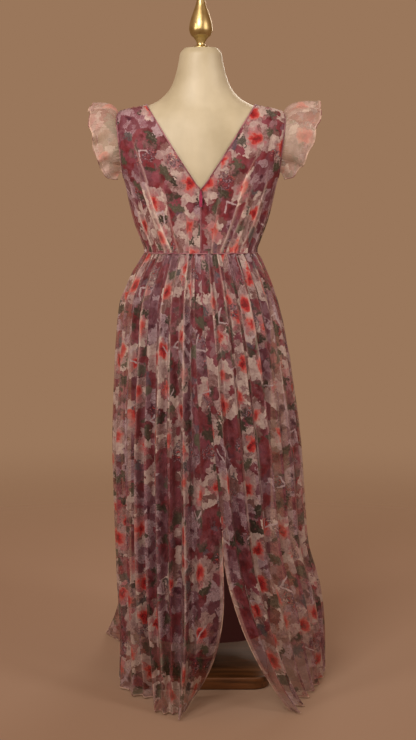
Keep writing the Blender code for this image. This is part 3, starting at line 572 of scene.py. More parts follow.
def over(tree, below, above, mask):
    """Lays one ink, a colour and its cover, over what is printed already."""
    colour = add_node(tree, "ShaderNodeMix", {"Factor": mask, "A": below[0], "B": above[0]}, data_type="RGBA")
    cover_value = add_node(tree, "ShaderNodeMix", {"Factor": mask, 2: below[1], 3: above[1]},
                           data_type="FLOAT")
    return colour.outputs["Result"], cover_value.outputs["Result"]


print("motifs:", ", ".join(f"{name} every {row[0] * 1000:.0f} mm" for name, row in MOTIFS.items()))

# %% Inks of the ground and the flowers
GROUND_INKS = ((0.0, "#862B34"), (0.42, "#601B24"), (0.62, "#3E392F"), (0.77, "#5A525F"),
               (0.81, "#A5828C"), (0.86, "#95485A"))
GROUND_COVERS = ((0.0, 0.46), (0.42, 0.56), (0.62, 0.80), (0.77, 0.66), (0.81, 0.52), (0.86, 0.46))
ROSE_INKS = ((0.30, "#87625F"), (0.47, "#B4979A"), (0.68, "#D2C0BB"))
MAUVE_INKS = ((0.30, "#763E50"), (0.47, "#9C7182"), (0.68, "#C4ACB8"))
HEART_INKS = ((0.02, "#7A181C"), (0.35, "#A8262B"), (0.66, "#BE403C"), (0.95, "#CC7A70"))


def painted_ground(tree, dab_chance, wash):
    """Each dab of the ground gets one ink by chance: mostly wine, some leaf, slate or lilac."""
    colour = ink_ramp(tree, dab_chance["Green"], GROUND_INKS, hard=True)
    cover_value = ink_ramp(tree, dab_chance["Green"], GROUND_COVERS, hard=True)
    uneven = add_node(tree, "ShaderNodeMix", {"Factor": wash, "A": colour, "B": linear("#B57080")},
                      data_type="RGBA").outputs["Result"]
    return uneven, cover_value


def painted_flowers(tree, bent, ragged, wash, dab, dab_chance, below):
    """Roses and mauve blossoms: whole dabs within a radius of the flower's middle, with a red heart."""
    spacing, start = MOTIFS["dab"]
    middle = add_node(tree, "ShaderNodeVectorMath", {
        0: dab.outputs["Position"], 1: (spacing, spacing, 0.0),
        2: (-start[0] * spacing, -start[1] * spacing, 0.0)}, operation="MULTIPLY_ADD").outputs[0]
    _, flower, chance = nearest_cell(tree, middle, "flower", 0.85)
    spacing, start = MOTIFS["flower"]
    place = add_node(tree, "ShaderNodeMapping", {"Vector": bent, "Scale": (1 / spacing, 1 / spacing, 1.0),
                                                 "Location": start}).outputs[0]
    inside = add_node(tree, "ShaderNodeVectorMath", {0: place, 1: flower.outputs["Position"]},
                      operation="SUBTRACT").outputs[0]
    radius = add_node(tree, "ShaderNodeVectorMath", {0: inside}, operation="LENGTH").outputs["Value"]
    parts = add_node(tree, "ShaderNodeSeparateXYZ", {0: inside})
    angle = add_node(tree, "ShaderNodeMath", {0: parts.outputs["Y"], 1: parts.outputs["X"]},
                     operation="ARCTAN2").outputs[0]

    polar = add_node(tree, "ShaderNodeCombineXYZ", {"X": angle, "Y": radius, "Z": chance["Blue"]}).outputs[0]
    brushed = add_node(tree, "ShaderNodeMapping", {"Vector": polar, "Scale": (3.4, 3.0, 30.0)}).outputs[0]
    streak = add_node(tree, "ShaderNodeTexNoise", {"Vector": brushed, "Scale": 1.7, "Detail": 4.0,
                                                   "Roughness": 0.6}).outputs["Fac"]
    tone = add_node(tree, "ShaderNodeMix", {"Factor": 0.45, 2: streak, 3: dab_chance["Red"]},
                    data_type="FLOAT").outputs["Result"]

    rose = add_node(tree, "ShaderNodeMath", {0: chance["Red"], 1: 0.37}, operation="GREATER_THAN").outputs[0]
    petal = add_node(tree, "ShaderNodeMix", {"Factor": rose, "A": ink_ramp(tree, tone, MAUVE_INKS),
                                             "B": ink_ramp(tree, tone, ROSE_INKS)}, data_type="RGBA")
    curl = add_node(tree, "ShaderNodeMath", {0: radius, 1: 44.0, 2: angle}, operation="MULTIPLY_ADD")
    curl = add_node(tree, "ShaderNodeMath", {0: ragged, 1: 9.0, 2: curl.outputs[0]}, operation="MULTIPLY_ADD")
    curl = add_node(tree, "ShaderNodeMath", {0: curl.outputs[0]}, operation="SINE").outputs[0]
    curl = add_node(tree, "ShaderNodeMapRange", {"Value": curl, "From Min": 0.45, "From Max": 1.0,
                                                 "To Min": 0.0, "To Max": 0.34}).outputs["Result"]
    petal = add_node(tree, "ShaderNodeMix", {"Factor": curl, "A": petal.outputs["Result"],
                                             "B": linear("#8F6468")}, data_type="RGBA").outputs["Result"]
    cover_value = add_node(tree, "ShaderNodeMapRange", {"Value": tone, "From Min": 0.2, "From Max": 0.8,
                                                        "To Min": 0.40, "To Max": 0.58}).outputs["Result"]
    cover_value = add_node(tree, "ShaderNodeMath", {0: rose, 1: 0.14, 2: cover_value},
                           operation="MULTIPLY_ADD").outputs[0]

    limit = add_node(tree, "ShaderNodeMath", {0: chance["Green"], 1: 0.15, 2: 0.43},
                     operation="MULTIPLY_ADD").outputs[0]
    grown = add_node(tree, "ShaderNodeMath", {0: flower.outputs["Distance"], 1: limit},
                     operation="LESS_THAN").outputs[0]
    layer = over(tree, below, (petal, cover_value), grown)

    blush = add_node(tree, "ShaderNodeMath", {0: dab_chance["Blue"], 1: 0.34, 2: radius},
                     operation="MULTIPLY_ADD").outputs[0]
    blush = add_node(tree, "ShaderNodeMath", {0: step_down(tree, blush, 0.38, 0.05), 1: rose},
                     operation="MULTIPLY").outputs[0]
    blush = add_node(tree, "ShaderNodeMath", {0: blush, 1: 0.72}, operation="MULTIPLY").outputs[0]
    layer = over(tree, layer, (linear("#C0707A"), 0.60), blush)

    spread = add_node(tree, "ShaderNodeMath", {0: wash, 1: -0.10, 2: radius}, operation="MULTIPLY_ADD")
    spread = add_node(tree, "ShaderNodeMath", {0: streak, 1: -0.20, 2: spread.outputs[0]},
                      operation="MULTIPLY_ADD").outputs[0]
    size = add_node(tree, "ShaderNodeMath", {0: chance["Blue"], 1: 0.075, 2: 0.035},
                    operation="MULTIPLY_ADD").outputs[0]
    depth = add_node(tree, "ShaderNodeMath", {0: spread, 1: 0.10}, operation="ADD").outputs[0]
    size = add_node(tree, "ShaderNodeMath", {0: size, 1: 0.10}, operation="ADD").outputs[0]
    depth = add_node(tree, "ShaderNodeMath", {0: depth, 1: size}, operation="DIVIDE").outputs[0]
    heart = add_node(tree, "ShaderNodeMath", {0: step_down(tree, depth, 0.95, 0.30), 1: rose},
                     operation="MULTIPLY").outputs[0]
    layer = over(tree, layer, (ink_ramp(tree, depth, HEART_INKS), 0.80), heart)

    mauve = add_node(tree, "ShaderNodeMath", {0: 1.0, 1: rose}, operation="SUBTRACT").outputs[0]
    eye = add_node(tree, "ShaderNodeMath", {0: step_down(tree, depth, 0.36, 0.16), 1: mauve},
                   operation="MULTIPLY").outputs[0]
    return over(tree, layer, (linear("#4C2233"), 0.72), eye), radius


print("inks:", len(GROUND_INKS), "of the ground,", len(ROSE_INKS) + len(MAUVE_INKS), "of petals")

# %% Leaves, stems and berries


def painted_leaves(tree, bent, ragged, radius, below):
    """Pointed ovals, |y| + 1.05 x^2 below a width, each turned by chance, with a paler rib. They keep off
    the middles of the flowers."""
    scaled, cell, chance = nearest_cell(tree, bent, "leaf", 1.0)
    inside = add_node(tree, "ShaderNodeVectorMath", {0: scaled, 1: cell.outputs["Position"]},
                      operation="SUBTRACT").outputs[0]
    angle = add_node(tree, "ShaderNodeMath", {0: chance["Red"], 1: math.tau}, operation="MULTIPLY").outputs[0]
    inside = add_node(tree, "ShaderNodeVectorRotate", {"Vector": inside, "Angle": angle},
                      rotation_type="Z_AXIS").outputs[0]
    parts = add_node(tree, "ShaderNodeSeparateXYZ", {0: inside})
    bow = add_node(tree, "ShaderNodeMath", {0: parts.outputs["X"], 1: parts.outputs["X"]},
                   operation="MULTIPLY")
    side = add_node(tree, "ShaderNodeMath", {0: parts.outputs["Y"]}, operation="ABSOLUTE").outputs[0]
    blade = add_node(tree, "ShaderNodeMath", {0: bow.outputs[0], 1: 1.05, 2: side}, operation="MULTIPLY_ADD")
    torn = add_node(tree, "ShaderNodeMath", {0: ragged, 1: 0.40, 2: blade.outputs[0]},
                    operation="MULTIPLY_ADD")
    some = add_node(tree, "ShaderNodeMath", {0: chance["Green"], 1: 0.66}, operation="LESS_THAN").outputs[0]
    clear = add_node(tree, "ShaderNodeMath", {0: radius, 1: 0.36}, operation="GREATER_THAN").outputs[0]
    some = add_node(tree, "ShaderNodeMath", {0: some, 1: clear}, operation="MULTIPLY").outputs[0]
    mask = add_node(tree, "ShaderNodeMath", {0: step_down(tree, torn.outputs[0], 0.20, 0.03), 1: some},
                    operation="MULTIPLY").outputs[0]
    green = ink_ramp(tree, chance["Blue"], ((0.0, "#2C2A22"), (0.45, "#423D32"), (0.75, "#575446"),
                                            (1.0, "#59525F")))
    rib = step_down(tree, side, 0.010, 0.014)
    green = add_node(tree, "ShaderNodeMix", {"Factor": rib, "A": green, "B": linear("#6A665A")},
                     data_type="RGBA").outputs["Result"]
    return over(tree, below, (green, 0.78), mask)


def painted_berries(tree, bent, below):
    """Small dark rings with red between them, only where a broad noise is high: clusters of berries."""
    _, cell, chance = nearest_cell(tree, bent, "berry", 0.7)
    broad = add_node(tree, "ShaderNodeTexNoise", {"Vector": bent, "Scale": 13.0, "Detail": 1.0},
                     noise_dimensions="2D").outputs["Fac"]
    cluster = add_node(tree, "ShaderNodeMapRange", {"Value": broad, "From Min": 0.685, "From Max": 0.700,
                                                    "To Min": 0.0, "To Max": 1.0}).outputs["Result"]
    ring = add_node(tree, "ShaderNodeMath", {0: cell.outputs["Distance"], 1: 0.34}, operation="SUBTRACT")
    ring = add_node(tree, "ShaderNodeMath", {0: ring.outputs[0]}, operation="ABSOLUTE").outputs[0]
    fruit = add_node(tree, "ShaderNodeMath", {0: step_down(tree, cell.outputs["Distance"], 0.38, 0.05),
                                              1: cluster}, operation="MULTIPLY").outputs[0]
    rim = add_node(tree, "ShaderNodeMath", {0: step_down(tree, ring, 0.10, 0.06), 1: cluster},
                   operation="MULTIPLY").outputs[0]
    ink = ink_ramp(tree, chance["Red"], ((0.0, "#C9473F"), (0.5, "#A98C9A")))
    layer = over(tree, below, (ink, 0.7), fruit)
    return over(tree, layer, (linear("#33262F"), 0.74), rim)


def painted_stems(tree, cloth, below):
    """Thin pale strokes in pairs: |y - 1.3 |x|| below a width, so each pair opens like a V of 75 degrees."""
    scaled, cell, chance = nearest_cell(tree, cloth, "stem", 0.9)
    inside = add_node(tree, "ShaderNodeVectorMath", {0: scaled, 1: cell.outputs["Position"]},
                      operation="SUBTRACT").outputs[0]
    angle = add_node(tree, "ShaderNodeMath", {0: chance["Red"], 1: math.tau}, operation="MULTIPLY").outputs[0]
    inside = add_node(tree, "ShaderNodeVectorRotate", {"Vector": inside, "Angle": angle},
                      rotation_type="Z_AXIS").outputs[0]
    parts = add_node(tree, "ShaderNodeSeparateXYZ", {0: inside})
    far = add_node(tree, "ShaderNodeMath", {0: parts.outputs["X"]}, operation="ABSOLUTE").outputs[0]
    pair = add_node(tree, "ShaderNodeMath", {0: far, 1: -1.3, 2: parts.outputs["Y"]},
                    operation="MULTIPLY_ADD")
    pair = add_node(tree, "ShaderNodeMath", {0: pair.outputs[0]}, operation="ABSOLUTE").outputs[0]
    taper = add_node(tree, "ShaderNodeMath", {0: far, 1: 0.02, 2: pair}, operation="MULTIPLY_ADD").outputs[0]
    long = add_node(tree, "ShaderNodeMath", {0: chance["Green"], 1: 0.12, 2: 0.08}, operation="MULTIPLY_ADD")
    reach = add_node(tree, "ShaderNodeMath", {0: far, 1: long.outputs[0]}, operation="LESS_THAN").outputs[0]
    mask = add_node(tree, "ShaderNodeMath", {0: step_down(tree, taper, 0.020, 0.010), 1: reach},
                    operation="MULTIPLY")
    return over(tree, below, (linear("#C9B7BF"), 0.66), mask.outputs[0])


print("leaves, berries and stems are ready")

# %% The whole print as one material
WEAVE_MM = 1.6  # the mesh has a hole every 0.4 mm; drawn at 1.6 mm, or the render couldn't show it


def printed_mesh(name, share=1.0, backlight_paleness=0.0):
    """Sheer polyester mesh: the inks one over the other, paler where the cloth is doubled. Taut on the
    lining it covers most; hanging free it covers only a share of that. A share of paleness mixed into
    all of its inks is painted light, for the light that shines through free-hanging cloth."""
    made, tree, shader = new_material(name)
    cloth = add_node(tree, "ShaderNodeUVMap", uv_map="flat cloth").outputs[0]
    wet = add_node(tree, "ShaderNodeTexNoise", {"Vector": cloth, "Scale": 42.0, "Detail": 5.0,
                                                "Roughness": 0.66}, noise_dimensions="2D")
    fine = add_node(tree, "ShaderNodeTexNoise", {"Vector": cloth, "Scale": 190.0, "Detail": 3.0},
                    noise_dimensions="2D")
    shift = add_node(tree, "ShaderNodeVectorMath", {0: wet.outputs["Color"], 1: (0.5, 0.5, 0.5)},
                     operation="SUBTRACT")
    bent = add_node(tree, "ShaderNodeVectorMath", {0: shift.outputs[0], 1: (0.034, 0.034, 0.0), 2: cloth},
                    operation="MULTIPLY_ADD").outputs[0]
    ragged = add_node(tree, "ShaderNodeMath", {0: fine.outputs["Fac"], 1: 0.5},
                      operation="SUBTRACT").outputs[0]
    wash = add_node(tree, "ShaderNodeMapRange", {"Value": wet.outputs["Fac"], "From Min": 0.40,
                                                 "From Max": 0.66, "To Min": 0.0,
                                                 "To Max": 0.55}).outputs["Result"]
    _, dab, dab_chance = nearest_cell(tree, bent, "dab", 1.0)

    layer = painted_ground(tree, dab_chance, wash)
    layer, radius = painted_flowers(tree, bent, ragged, wash, dab, dab_chance, layer)
    layer = painted_leaves(tree, bent, ragged, radius, layer)
    layer = painted_berries(tree, bent, layer)
    swayed = add_node(tree, "ShaderNodeVectorMath", {0: shift.outputs[0], 1: (0.012, 0.012, 0.0), 2: cloth},
                      operation="MULTIPLY_ADD").outputs[0]
    layer = painted_stems(tree, swayed, layer)

    # Doubled cloth at a pinched fold or a turned edge: paler, and it covers more
    pinch = add_node(tree, "ShaderNodeAttribute", attribute_name="doubled").outputs["Fac"]
    # Paler where the cloth is doubled, and by a fixed share over the whole piece: painted light shining
    # through free-hanging cloth
    paler = add_node(tree, "ShaderNodeMath", {0: pinch, 1: 0.42 * (1 - backlight_paleness), 2: backlight_paleness},
                     operation="MULTIPLY_ADD")
    colour = add_node(tree, "ShaderNodeMix", {"Factor": paler.outputs[0], "A": layer[0],
                                              "B": linear("#DCC6BA")}, data_type="RGBA")
    thicker = add_node(tree, "ShaderNodeMath", {0: pinch, 1: 0.28, 2: layer[1]}, operation="MULTIPLY_ADD")
    thicker = add_node(tree, "ShaderNodeMath", {0: thicker.outputs[0], 1: share}, operation="MULTIPLY")
    uneven = add_node(tree, "ShaderNodeMath", {0: ragged, 1: 0.30, 2: thicker.outputs[0]},
                      operation="MULTIPLY_ADD", use_clamp=True)
    tree.links.new(colour.outputs["Result"], shader.inputs["Base Color"])
    tree.links.new(uneven.outputs[0], shader.inputs["Alpha"])

    split = add_node(tree, "ShaderNodeSeparateXYZ", {0: cloth})
    knots = []
    for axis in ("X", "Y"):
        turns = add_node(tree, "ShaderNodeMath", {0: split.outputs[axis], 1: math.tau * 1000.0 / WEAVE_MM},
                         operation="MULTIPLY")
        knots.append(add_node(tree, "ShaderNodeMath", {0: turns.outputs[0]}, operation="SINE").outputs[0])
    woven = add_node(tree, "ShaderNodeMath", {0: knots[0], 1: knots[1]}, operation="MAXIMUM")
    bump = add_node(tree, "ShaderNodeBump", {"Height": woven.outputs[0], "Strength": 0.35,
                                             "Distance": 0.0003})
    tree.links.new(bump.outputs[0], shader.inputs["Normal"])
    shader.inputs["Roughness"].default_value = 0.66
    shader.inputs["Sheen Weight"].default_value = 0.18
    shader.inputs["Sheen Roughness"].default_value = 0.35
    shader.inputs["Sheen Tint"].default_value = linear("#F0DCD2")
    shader.inputs["Specular IOR Level"].default_value = 0.25
    return made


mesh_cloth = printed_mesh("polyester_mesh_flower_print")
hung_cloth = printed_mesh("polyester_mesh_flower_print_hung", share=0.88)
# The sleeves' cloth has its inks painted paler: painted light shining through it
free_cloth = printed_mesh("polyester_mesh_flower_print_single_layer_painted_backlight", share=0.78, backlight_paleness=0.40)
print("print nodes:", len(mesh_cloth.node_tree.nodes))

# %% Wine lining


def wine_lining(name, hex_dark, hex_pale):
    """Smooth dark wine crepe: matt, with a faint pebble of 1.2 mm and a soft bloom at its edges."""
    made, tree, shader = new_material(name)
    place = add_node(tree, "ShaderNodeTexCoord").outputs["Object"]
    pebble = add_node(tree, "ShaderNodeTexNoise", {"Vector": place, "Scale": 820.0, "Detail": 2.0})
    soft = add_node(tree, "ShaderNodeTexNoise", {"Vector": place, "Scale": 14.0, "Detail": 3.0})
    tone = add_node(tree, "ShaderNodeMix", {"Factor": soft.outputs["Fac"], "A": linear(hex_dark),
                                            "B": linear(hex_pale)}, data_type="RGBA")
    tree.links.new(tone.outputs["Result"], shader.inputs["Base Color"])
    bump = add_node(tree, "ShaderNodeBump", {"Height": pebble.outputs["Fac"], "Strength": 0.2,
                                             "Distance": 0.0003})
    tree.links.new(bump.outputs[0], shader.inputs["Normal"])
    shader.inputs["Roughness"].default_value = 0.58
    shader.inputs["Sheen Weight"].default_value = 0.2
    shader.inputs["Sheen Roughness"].default_value = 0.4
    shader.inputs["Sheen Tint"].default_value = linear("#C77A80")
    return made


lining_cloth = wine_lining("polyester_crepe_wine", "#5A0F1B", "#741826")
# The skirt's lining is a darker copy of the same crepe: painted shade for the dark inside of the skirt
shaded_lining = wine_lining("polyester_crepe_wine_painted_shade", "#340C12", "#46121A")
print("linings:", lining_cloth.name, "in the bodice,", shaded_lining.name, "in the skirt")

# %% [markdown]
# ## The bodice
# The back is two panels that meet at the centre seam and part into the V. Each panel is
# gathered into the waist seam, so its folds fan up and out. A panel is drawn between four edges
# in angle and ring of the form, which keeps it hugging the form, and its folds are added as
# height: soft ridges whose place leans outwards as they climb. The wine lining lies under it.

# %% Edges of the panels


def neckline_angle(ring):
    """Where the V crosses a ring: the straight line from its point to the neck point, seen from behind."""
    scan = np.linspace(270.0, 360.0, 361)
    points = over_form(scan, np.full_like(scan, ring), np.full_like(scan, CLOTH))
    climb = np.clip((points[:, 2] - V_POINT_Z) / (NECK_POINT[1] - V_POINT_Z), 0.0, 1.0)
    past = points[:, 0] - NECK_POINT[0] * climb**0.94
    past[0] = -1e-6
    after = int(np.argmax(past > 0)) if (past > 0).any() else len(scan) - 1
    before = max(after - 1, 0)
    share = -past[before] / (past[after] - past[before])
    return scan[before] + (scan[after] - scan[before]) * np.clip(share, 0.0, 1.0)


NECKLINE_RINGS = np.linspace(V_RING, NECK_RING, 25)
NECKLINE_ANGLES = np.array([neckline_angle(ring) for ring in NECKLINE_RINGS])
NECKLINE_ANGLES[0], NECKLINE_ANGLES[-1] = 270.0, 360.0


def back_inner_edge(climb):
    """Angle and ring up the centre back seam and then along the V, for climb 0 to 1."""
    seam = CENTRE_SEAM_SHARE
    ring = np.where(climb < seam, WAIST_RING + (V_RING - WAIST_RING) * climb / seam,
                    V_RING + (NECK_RING - V_RING) * (climb - seam) / (1 - seam))
    return np.stack([np.interp(ring, NECKLINE_RINGS, NECKLINE_ANGLES), ring], -1)


def armhole_edge(climb, side_angle, turn):
    """Angle and ring up the side seam and round the armhole, for climb 0 to 1."""
    seam = SIDE_SEAM_SHARE
    along = np.clip((climb - seam) / (1 - seam), 0.0, 1.0)
    ring = np.where(climb < seam, WAIST_RING + (UNDERARM_RING - WAIST_RING) * climb / seam,
                    UNDERARM_RING + (SHOULDER_RING - UNDERARM_RING) * along)
    return np.stack([side_angle + turn * ARMHOLE_ANGLE * np.sin(np.pi * along) ** 0.75, ring], -1)


def front_inner_edge(climb):
    """Angle and ring up the middle of the front and then along its scooped neckline."""
    along = np.clip((climb - CENTRE_SEAM_SHARE) / (1 - CENTRE_SEAM_SHARE), 0.0, 1.0)
    ring = np.where(climb < CENTRE_SEAM_SHARE,
                    WAIST_RING + (FRONT_NECK_RING - WAIST_RING) * climb / CENTRE_SEAM_SHARE,
                    FRONT_NECK_RING + (NECK_RING - FRONT_NECK_RING) * along)
    return np.stack([90.0 * (1 - along**0.6), ring], -1)


def patch(u, v, bottom, top, left, right):
    """A panel between four edges: the rulings both ways added, less the blend of the four corners."""
    ends = np.array([0.0, 1.0])
    corner_low, corner_high = bottom(ends), top(ends)
    u, v = u[..., None], v[..., None]
    ruled = ((1 - v) * bottom(u[..., 0]) + v * top(u[..., 0])
             + (1 - u) * left(v[..., 0]) + u * right(v[..., 0]))
    return ruled - ((1 - u) * (1 - v) * corner_low[0] + u * (1 - v) * corner_low[1]
                    + (1 - u) * v * corner_high[0] + u * v * corner_high[1])


def line(start, end):
    """The straight line from start to end, as a function of the share along it."""
    start, end = np.array(start), np.array(end)
    return lambda share: start + (end - start) * np.asarray(share)[..., None]


print("the V opens to", round(float(NECKLINE_ANGLES[12]), 1), "degrees half way up")

# %% Folds of the bodice
# Columns: place at the waist (0 centre, 1 side), lean outwards, top of the fold (0 waist, 1 shoulder),
# height in mm, reach in mm, side that lies over (1 outer, -1 inner), how doubled the cloth is along it
BACK_RIGHT_CREASES = (
    (0.1, 0.1, 0.5, 1.4, 5.0, 1, 0.4), (0.2, 0.36, 0.82, 2.6, 7.0, 1, 1.0),
    (0.27, 0.4, 0.64, 1.8, 5.0, 1, 0.7), (0.38, 0.32, 0.46, 1.4, 5.0, -1, 0.4),
    (0.47, 0.38, 0.66, 2.2, 6.0, 1, 0.8), (0.58, 0.28, 0.4, 1.6, 5.0, -1, 0.4),
    (0.7, 0.24, 0.5, 1.8, 6.0, 1, 0.5), (0.83, 0.13, 0.36, 1.4, 5.0, -1, 0.3),
)
BACK_LEFT_CREASES = (
    (0.11, 0.05, 0.4, 1.2, 5.0, -1, 0.3), (0.23, 0.18, 0.56, 2.2, 6.0, 1, 0.7),
    (0.32, 0.36, 0.9, 2.8, 8.0, 1, 1.0), (0.41, 0.34, 0.72, 2.0, 5.0, -1, 0.7),
    (0.52, 0.26, 0.48, 1.6, 5.0, 1, 0.4), (0.62, 0.28, 0.58, 2.0, 6.0, 1, 0.6),
    (0.74, 0.2, 0.44, 1.6, 5.0, -1, 0.4), (0.86, 0.11, 0.4, 1.4, 5.0, 1, 0.3),
)
FRONT_CREASES = (
    (0.12, 0.05, 0.34, 1.4, 5.0, 1, 0.3), (0.26, -0.02, 0.44, 1.8, 6.0, -1, 0.5),
    (0.37, -0.05, 0.36, 1.6, 5.0, 1, 0.4), (0.5, -0.08, 0.5, 2.0, 6.0, 1, 0.6),
    (0.62, -0.1, 0.38, 1.8, 5.0, -1, 0.4), (0.74, -0.08, 0.46, 2.0, 6.0, 1, 0.5),
    (0.87, -0.04, 0.34, 1.6, 5.0, -1, 0.4),
)
TUCKED_MM = 13.0  # cloth that each of these tucks hides


def gathers(u, v, folds):
    """The plain model's folds: waves across the panel, deep at the waist, fine at the shoulder seam."""
    waist_folds, waist_depth, shoulder_folds, shoulder_depth = folds
    calm = np.clip(np.minimum(u, 1 - u) / 0.10, 0.0, 1.0)
    uneven = 0.72 + 0.28 * np.sin(5.0 * u * np.pi + 0.8)
    low = waist_depth * uneven * (1 - v) ** 1.1 * (1 - np.cos(2 * np.pi * waist_folds * u)) / 2
    high = shoulder_depth * v**5 * (1 - np.cos(2 * np.pi * shoulder_folds * u)) / 2
    return calm * (low + high)


def creases(u, v, table, width):
    """Each crease is a small tuck: high at its edge, sloping off over its reach on the side that lies over,
    and dropping at once on the other. It leans as it climbs and fades at its top. The third array is the
    cloth hidden in the tucks so far across, in metres."""
    height, doubled, hidden = np.zeros_like(u), np.zeros_like(u), np.zeros_like(u)
    for place, lean, top, tall, reach, over_side, double in table:
        fade = np.clip((top - v) / (0.5 * top), 0.0, 1.0)
        fade = fade**2 * (3 - 2 * fade)
        across = (u - place - lean * v) * width
        away = over_side * across
        slope = np.where(away > 0, np.exp(-(np.maximum(away, 0) / (0.001 * reach)) ** 1.4),
                         np.clip(1 + away / 0.0011, 0.0, 1.0))
        height += 0.001 * tall * fade * slope
        doubled = np.maximum(doubled, double * fade * np.where(away > 0, np.exp(-(away / 0.0036) ** 2),
                                                               np.clip(1 + away / 0.0011, 0.0, 1.0)))
        hidden += 0.001 * TUCKED_MM * fade * np.clip(0.5 + across / 0.0022, 0.0, 1.0)
    return height, doubled, hidden


def fine_gathers(u, v, count, height, reach, seed):
    """Fine pleats at a seam: a wave whose pace drifts across, highest at the seam, gone at reach."""
    drift = u + 0.012 * np.sin(2 * np.pi * 3 * u + seed) + 0.006 * np.sin(2 * np.pi * 7.3 * u + 2 * seed)
    strong = 0.6 + 0.4 * np.sin(2 * np.pi * 4.7 * u + 3 * seed)
    fade = np.exp(-(v / (reach * (0.6 + 0.4 * np.sin(2 * np.pi * 11 * u + seed) ** 2))) ** 1.4)
    wave = (1 + np.cos(2 * np.pi * count * drift)) / 2
    return height * strong * fade * wave**1.6, fade * strong * wave**4


print("creases:", len(BACK_RIGHT_CREASES) + len(BACK_LEFT_CREASES) + 2 * len(FRONT_CREASES))

# %% Bodice panels
PANEL_COLUMNS, PANEL_ROWS = 130, 110
CUT_AT = {  # metres on the printed cloth: a bodice piece's middle at the waist, any other's corner
    "bodice_back_right": (0.31, 0.02), "bodice_back_left": (1.30, 0.055), "bodice_front": (1.9, 0.0),
    "sleeve_left": (2.4, 0.05), "sleeve_right": (3.1, 0.05), "skirt_back_left": (4.0, 0.02),
    "skirt_back_right": (4.93, 0.11), "skirt_front": (5.8, 0.06)}
ruffle_seams = {}


def bodice_half(name, u, v, creased, plain=False):
    """Points of the right back or front half, how doubled its cloth is, and what its tucks hide."""
    if name == "back":
        place = patch(u, v, line((270.0, WAIST_RING), (360.0, WAIST_RING)),
                      line((360.0, NECK_RING), (360.0, SHOULDER_RING)),
                      back_inner_edge, lambda climb: armhole_edge(climb, 360.0, -1.0))
        folds, centre = BACK_FOLDS, u
    else:
        place = patch(u, v, line((0.0, WAIST_RING), (90.0, WAIST_RING)),
                      line((0.0, SHOULDER_RING), (0.0, NECK_RING)),
                      lambda climb: armhole_edge(climb, 0.0, 1.0), front_inner_edge)
        folds, centre = FRONT_FOLDS, 1 - u
    angle, ring = place[..., 0], place[..., 1]
    if plain:
        return over_form(angle, ring, ease_at(ring) + 0.0002), None, None
    height, doubled, hidden = creases(centre, v, creased, 0.125 if name == "back" else 0.19)
    calm = np.clip(np.minimum(u, 1 - u) / 0.06, 0.0, 1.0)
    fine, fine_doubled = fine_gathers(centre, v, 26, 0.0012, 0.10, 1.3)
    ruched, ruched_doubled = fine_gathers(centre, 1 - v, 9, 0.0018, 0.055, 2.1)
    out = ease_at(ring) + CLOTH + gathers(u, v, folds) + calm * (height + fine + ruched)
    doubled = np.clip(doubled + 0.35 * fine_doubled + 0.4 * ruched_doubled, 0.0, 1.0) * calm
    return over_form(angle, ring, out), doubled, hidden


def row_distance(points):
    """Distance along each row of points, in metres."""
    steps = np.linalg.norm(np.diff(points, axis=1), axis=-1)
    return np.concatenate([np.zeros((len(points), 1)), np.cumsum(steps, axis=1)], axis=1)


def cut_places(points, hidden, outward):
    """Places on the flat cloth: across, the distance from the middle, 6% longer for the gathers, plus
    what the tucks hide; up, the distance along each column without its sideways part."""
    rows = points if outward else points[:, ::-1]
    across = np.abs(rows[:, :1, 0]) + row_distance(rows) * 1.06
    across = across if outward else across[:, ::-1]
    climb = np.linalg.norm(np.diff(points[..., 1:], axis=0), axis=-1)
    up = np.concatenate([np.zeros((1, points.shape[1])), np.cumsum(climb, axis=0)])
    return np.stack([across + hidden, up], -1)


def edges_in(points, gap=0.6 * SEAM_GAP):
    """Moves the two side edges in a little, so that neighbours don't touch at their seam."""
    points = points.copy()
    for edge, inner in ((0, 1), (-1, -2)):
        step = points[:, inner] - points[:, edge]
        points[:, edge] += step / np.linalg.norm(step, axis=-1, keepdims=True) * gap
    return points


heights = 1 - (1 - np.linspace(0, 1, PANEL_ROWS + 1)) ** ROW_CROWDING
u, v = np.meshgrid(np.linspace(0, 1, PANEL_COLUMNS + 1), heights)


def cloth_area(points):
    """Area of a grid of points: half the length of the cross product of each quad's diagonals, summed."""
    one = points[1:, 1:] - points[:-1, :-1]
    other = points[1:, :-1] - points[:-1, 1:]
    return float(np.linalg.norm(np.cross(one, other), axis=-1).sum() / 2)


def add_cloth(name, points, flat, doubled, material, node):
    """Lays a cloth piece through its points, with each point's place on the flat cloth as its UV map."""
    piece = surface_object(name, points, grid_faces(*points.shape[:2]), material, flat, {"doubled": doubled})
    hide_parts(node)
    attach(piece, "gown")
    return piece


for side, table in (("right", BACK_RIGHT_CREASES), ("left", BACK_LEFT_CREASES)):
    flip = np.array([1.0 if side == "right" else -1.0, 1.0, 1.0])
    order = slice(None) if side == "right" else slice(None, None, -1)
    node = "bodice_back_" + side
    points, doubled, hidden = bodice_half("back", u, v, table)
    points = edges_in(points)
    points[0, :, 2] = WAIST_Z + SEAM_GAP / 2
    ruffle_seams["back_" + side] = points[:, -1]
    flat = cut_places(points, hidden, outward=True) * flip[:2] + CUT_AT[node]
    outer = (points * flip)[:, order]
    piece = add_cloth(node + "_mesh", outer, flat[:, order], doubled[:, order], mesh_cloth, node)
    under = (edges_in(bodice_half("back", u, v, table, plain=True)[0]) * flip)[:, order]
    under = add_cloth(node + "_lining", under, flat, 0 * doubled, lining_cloth, node)

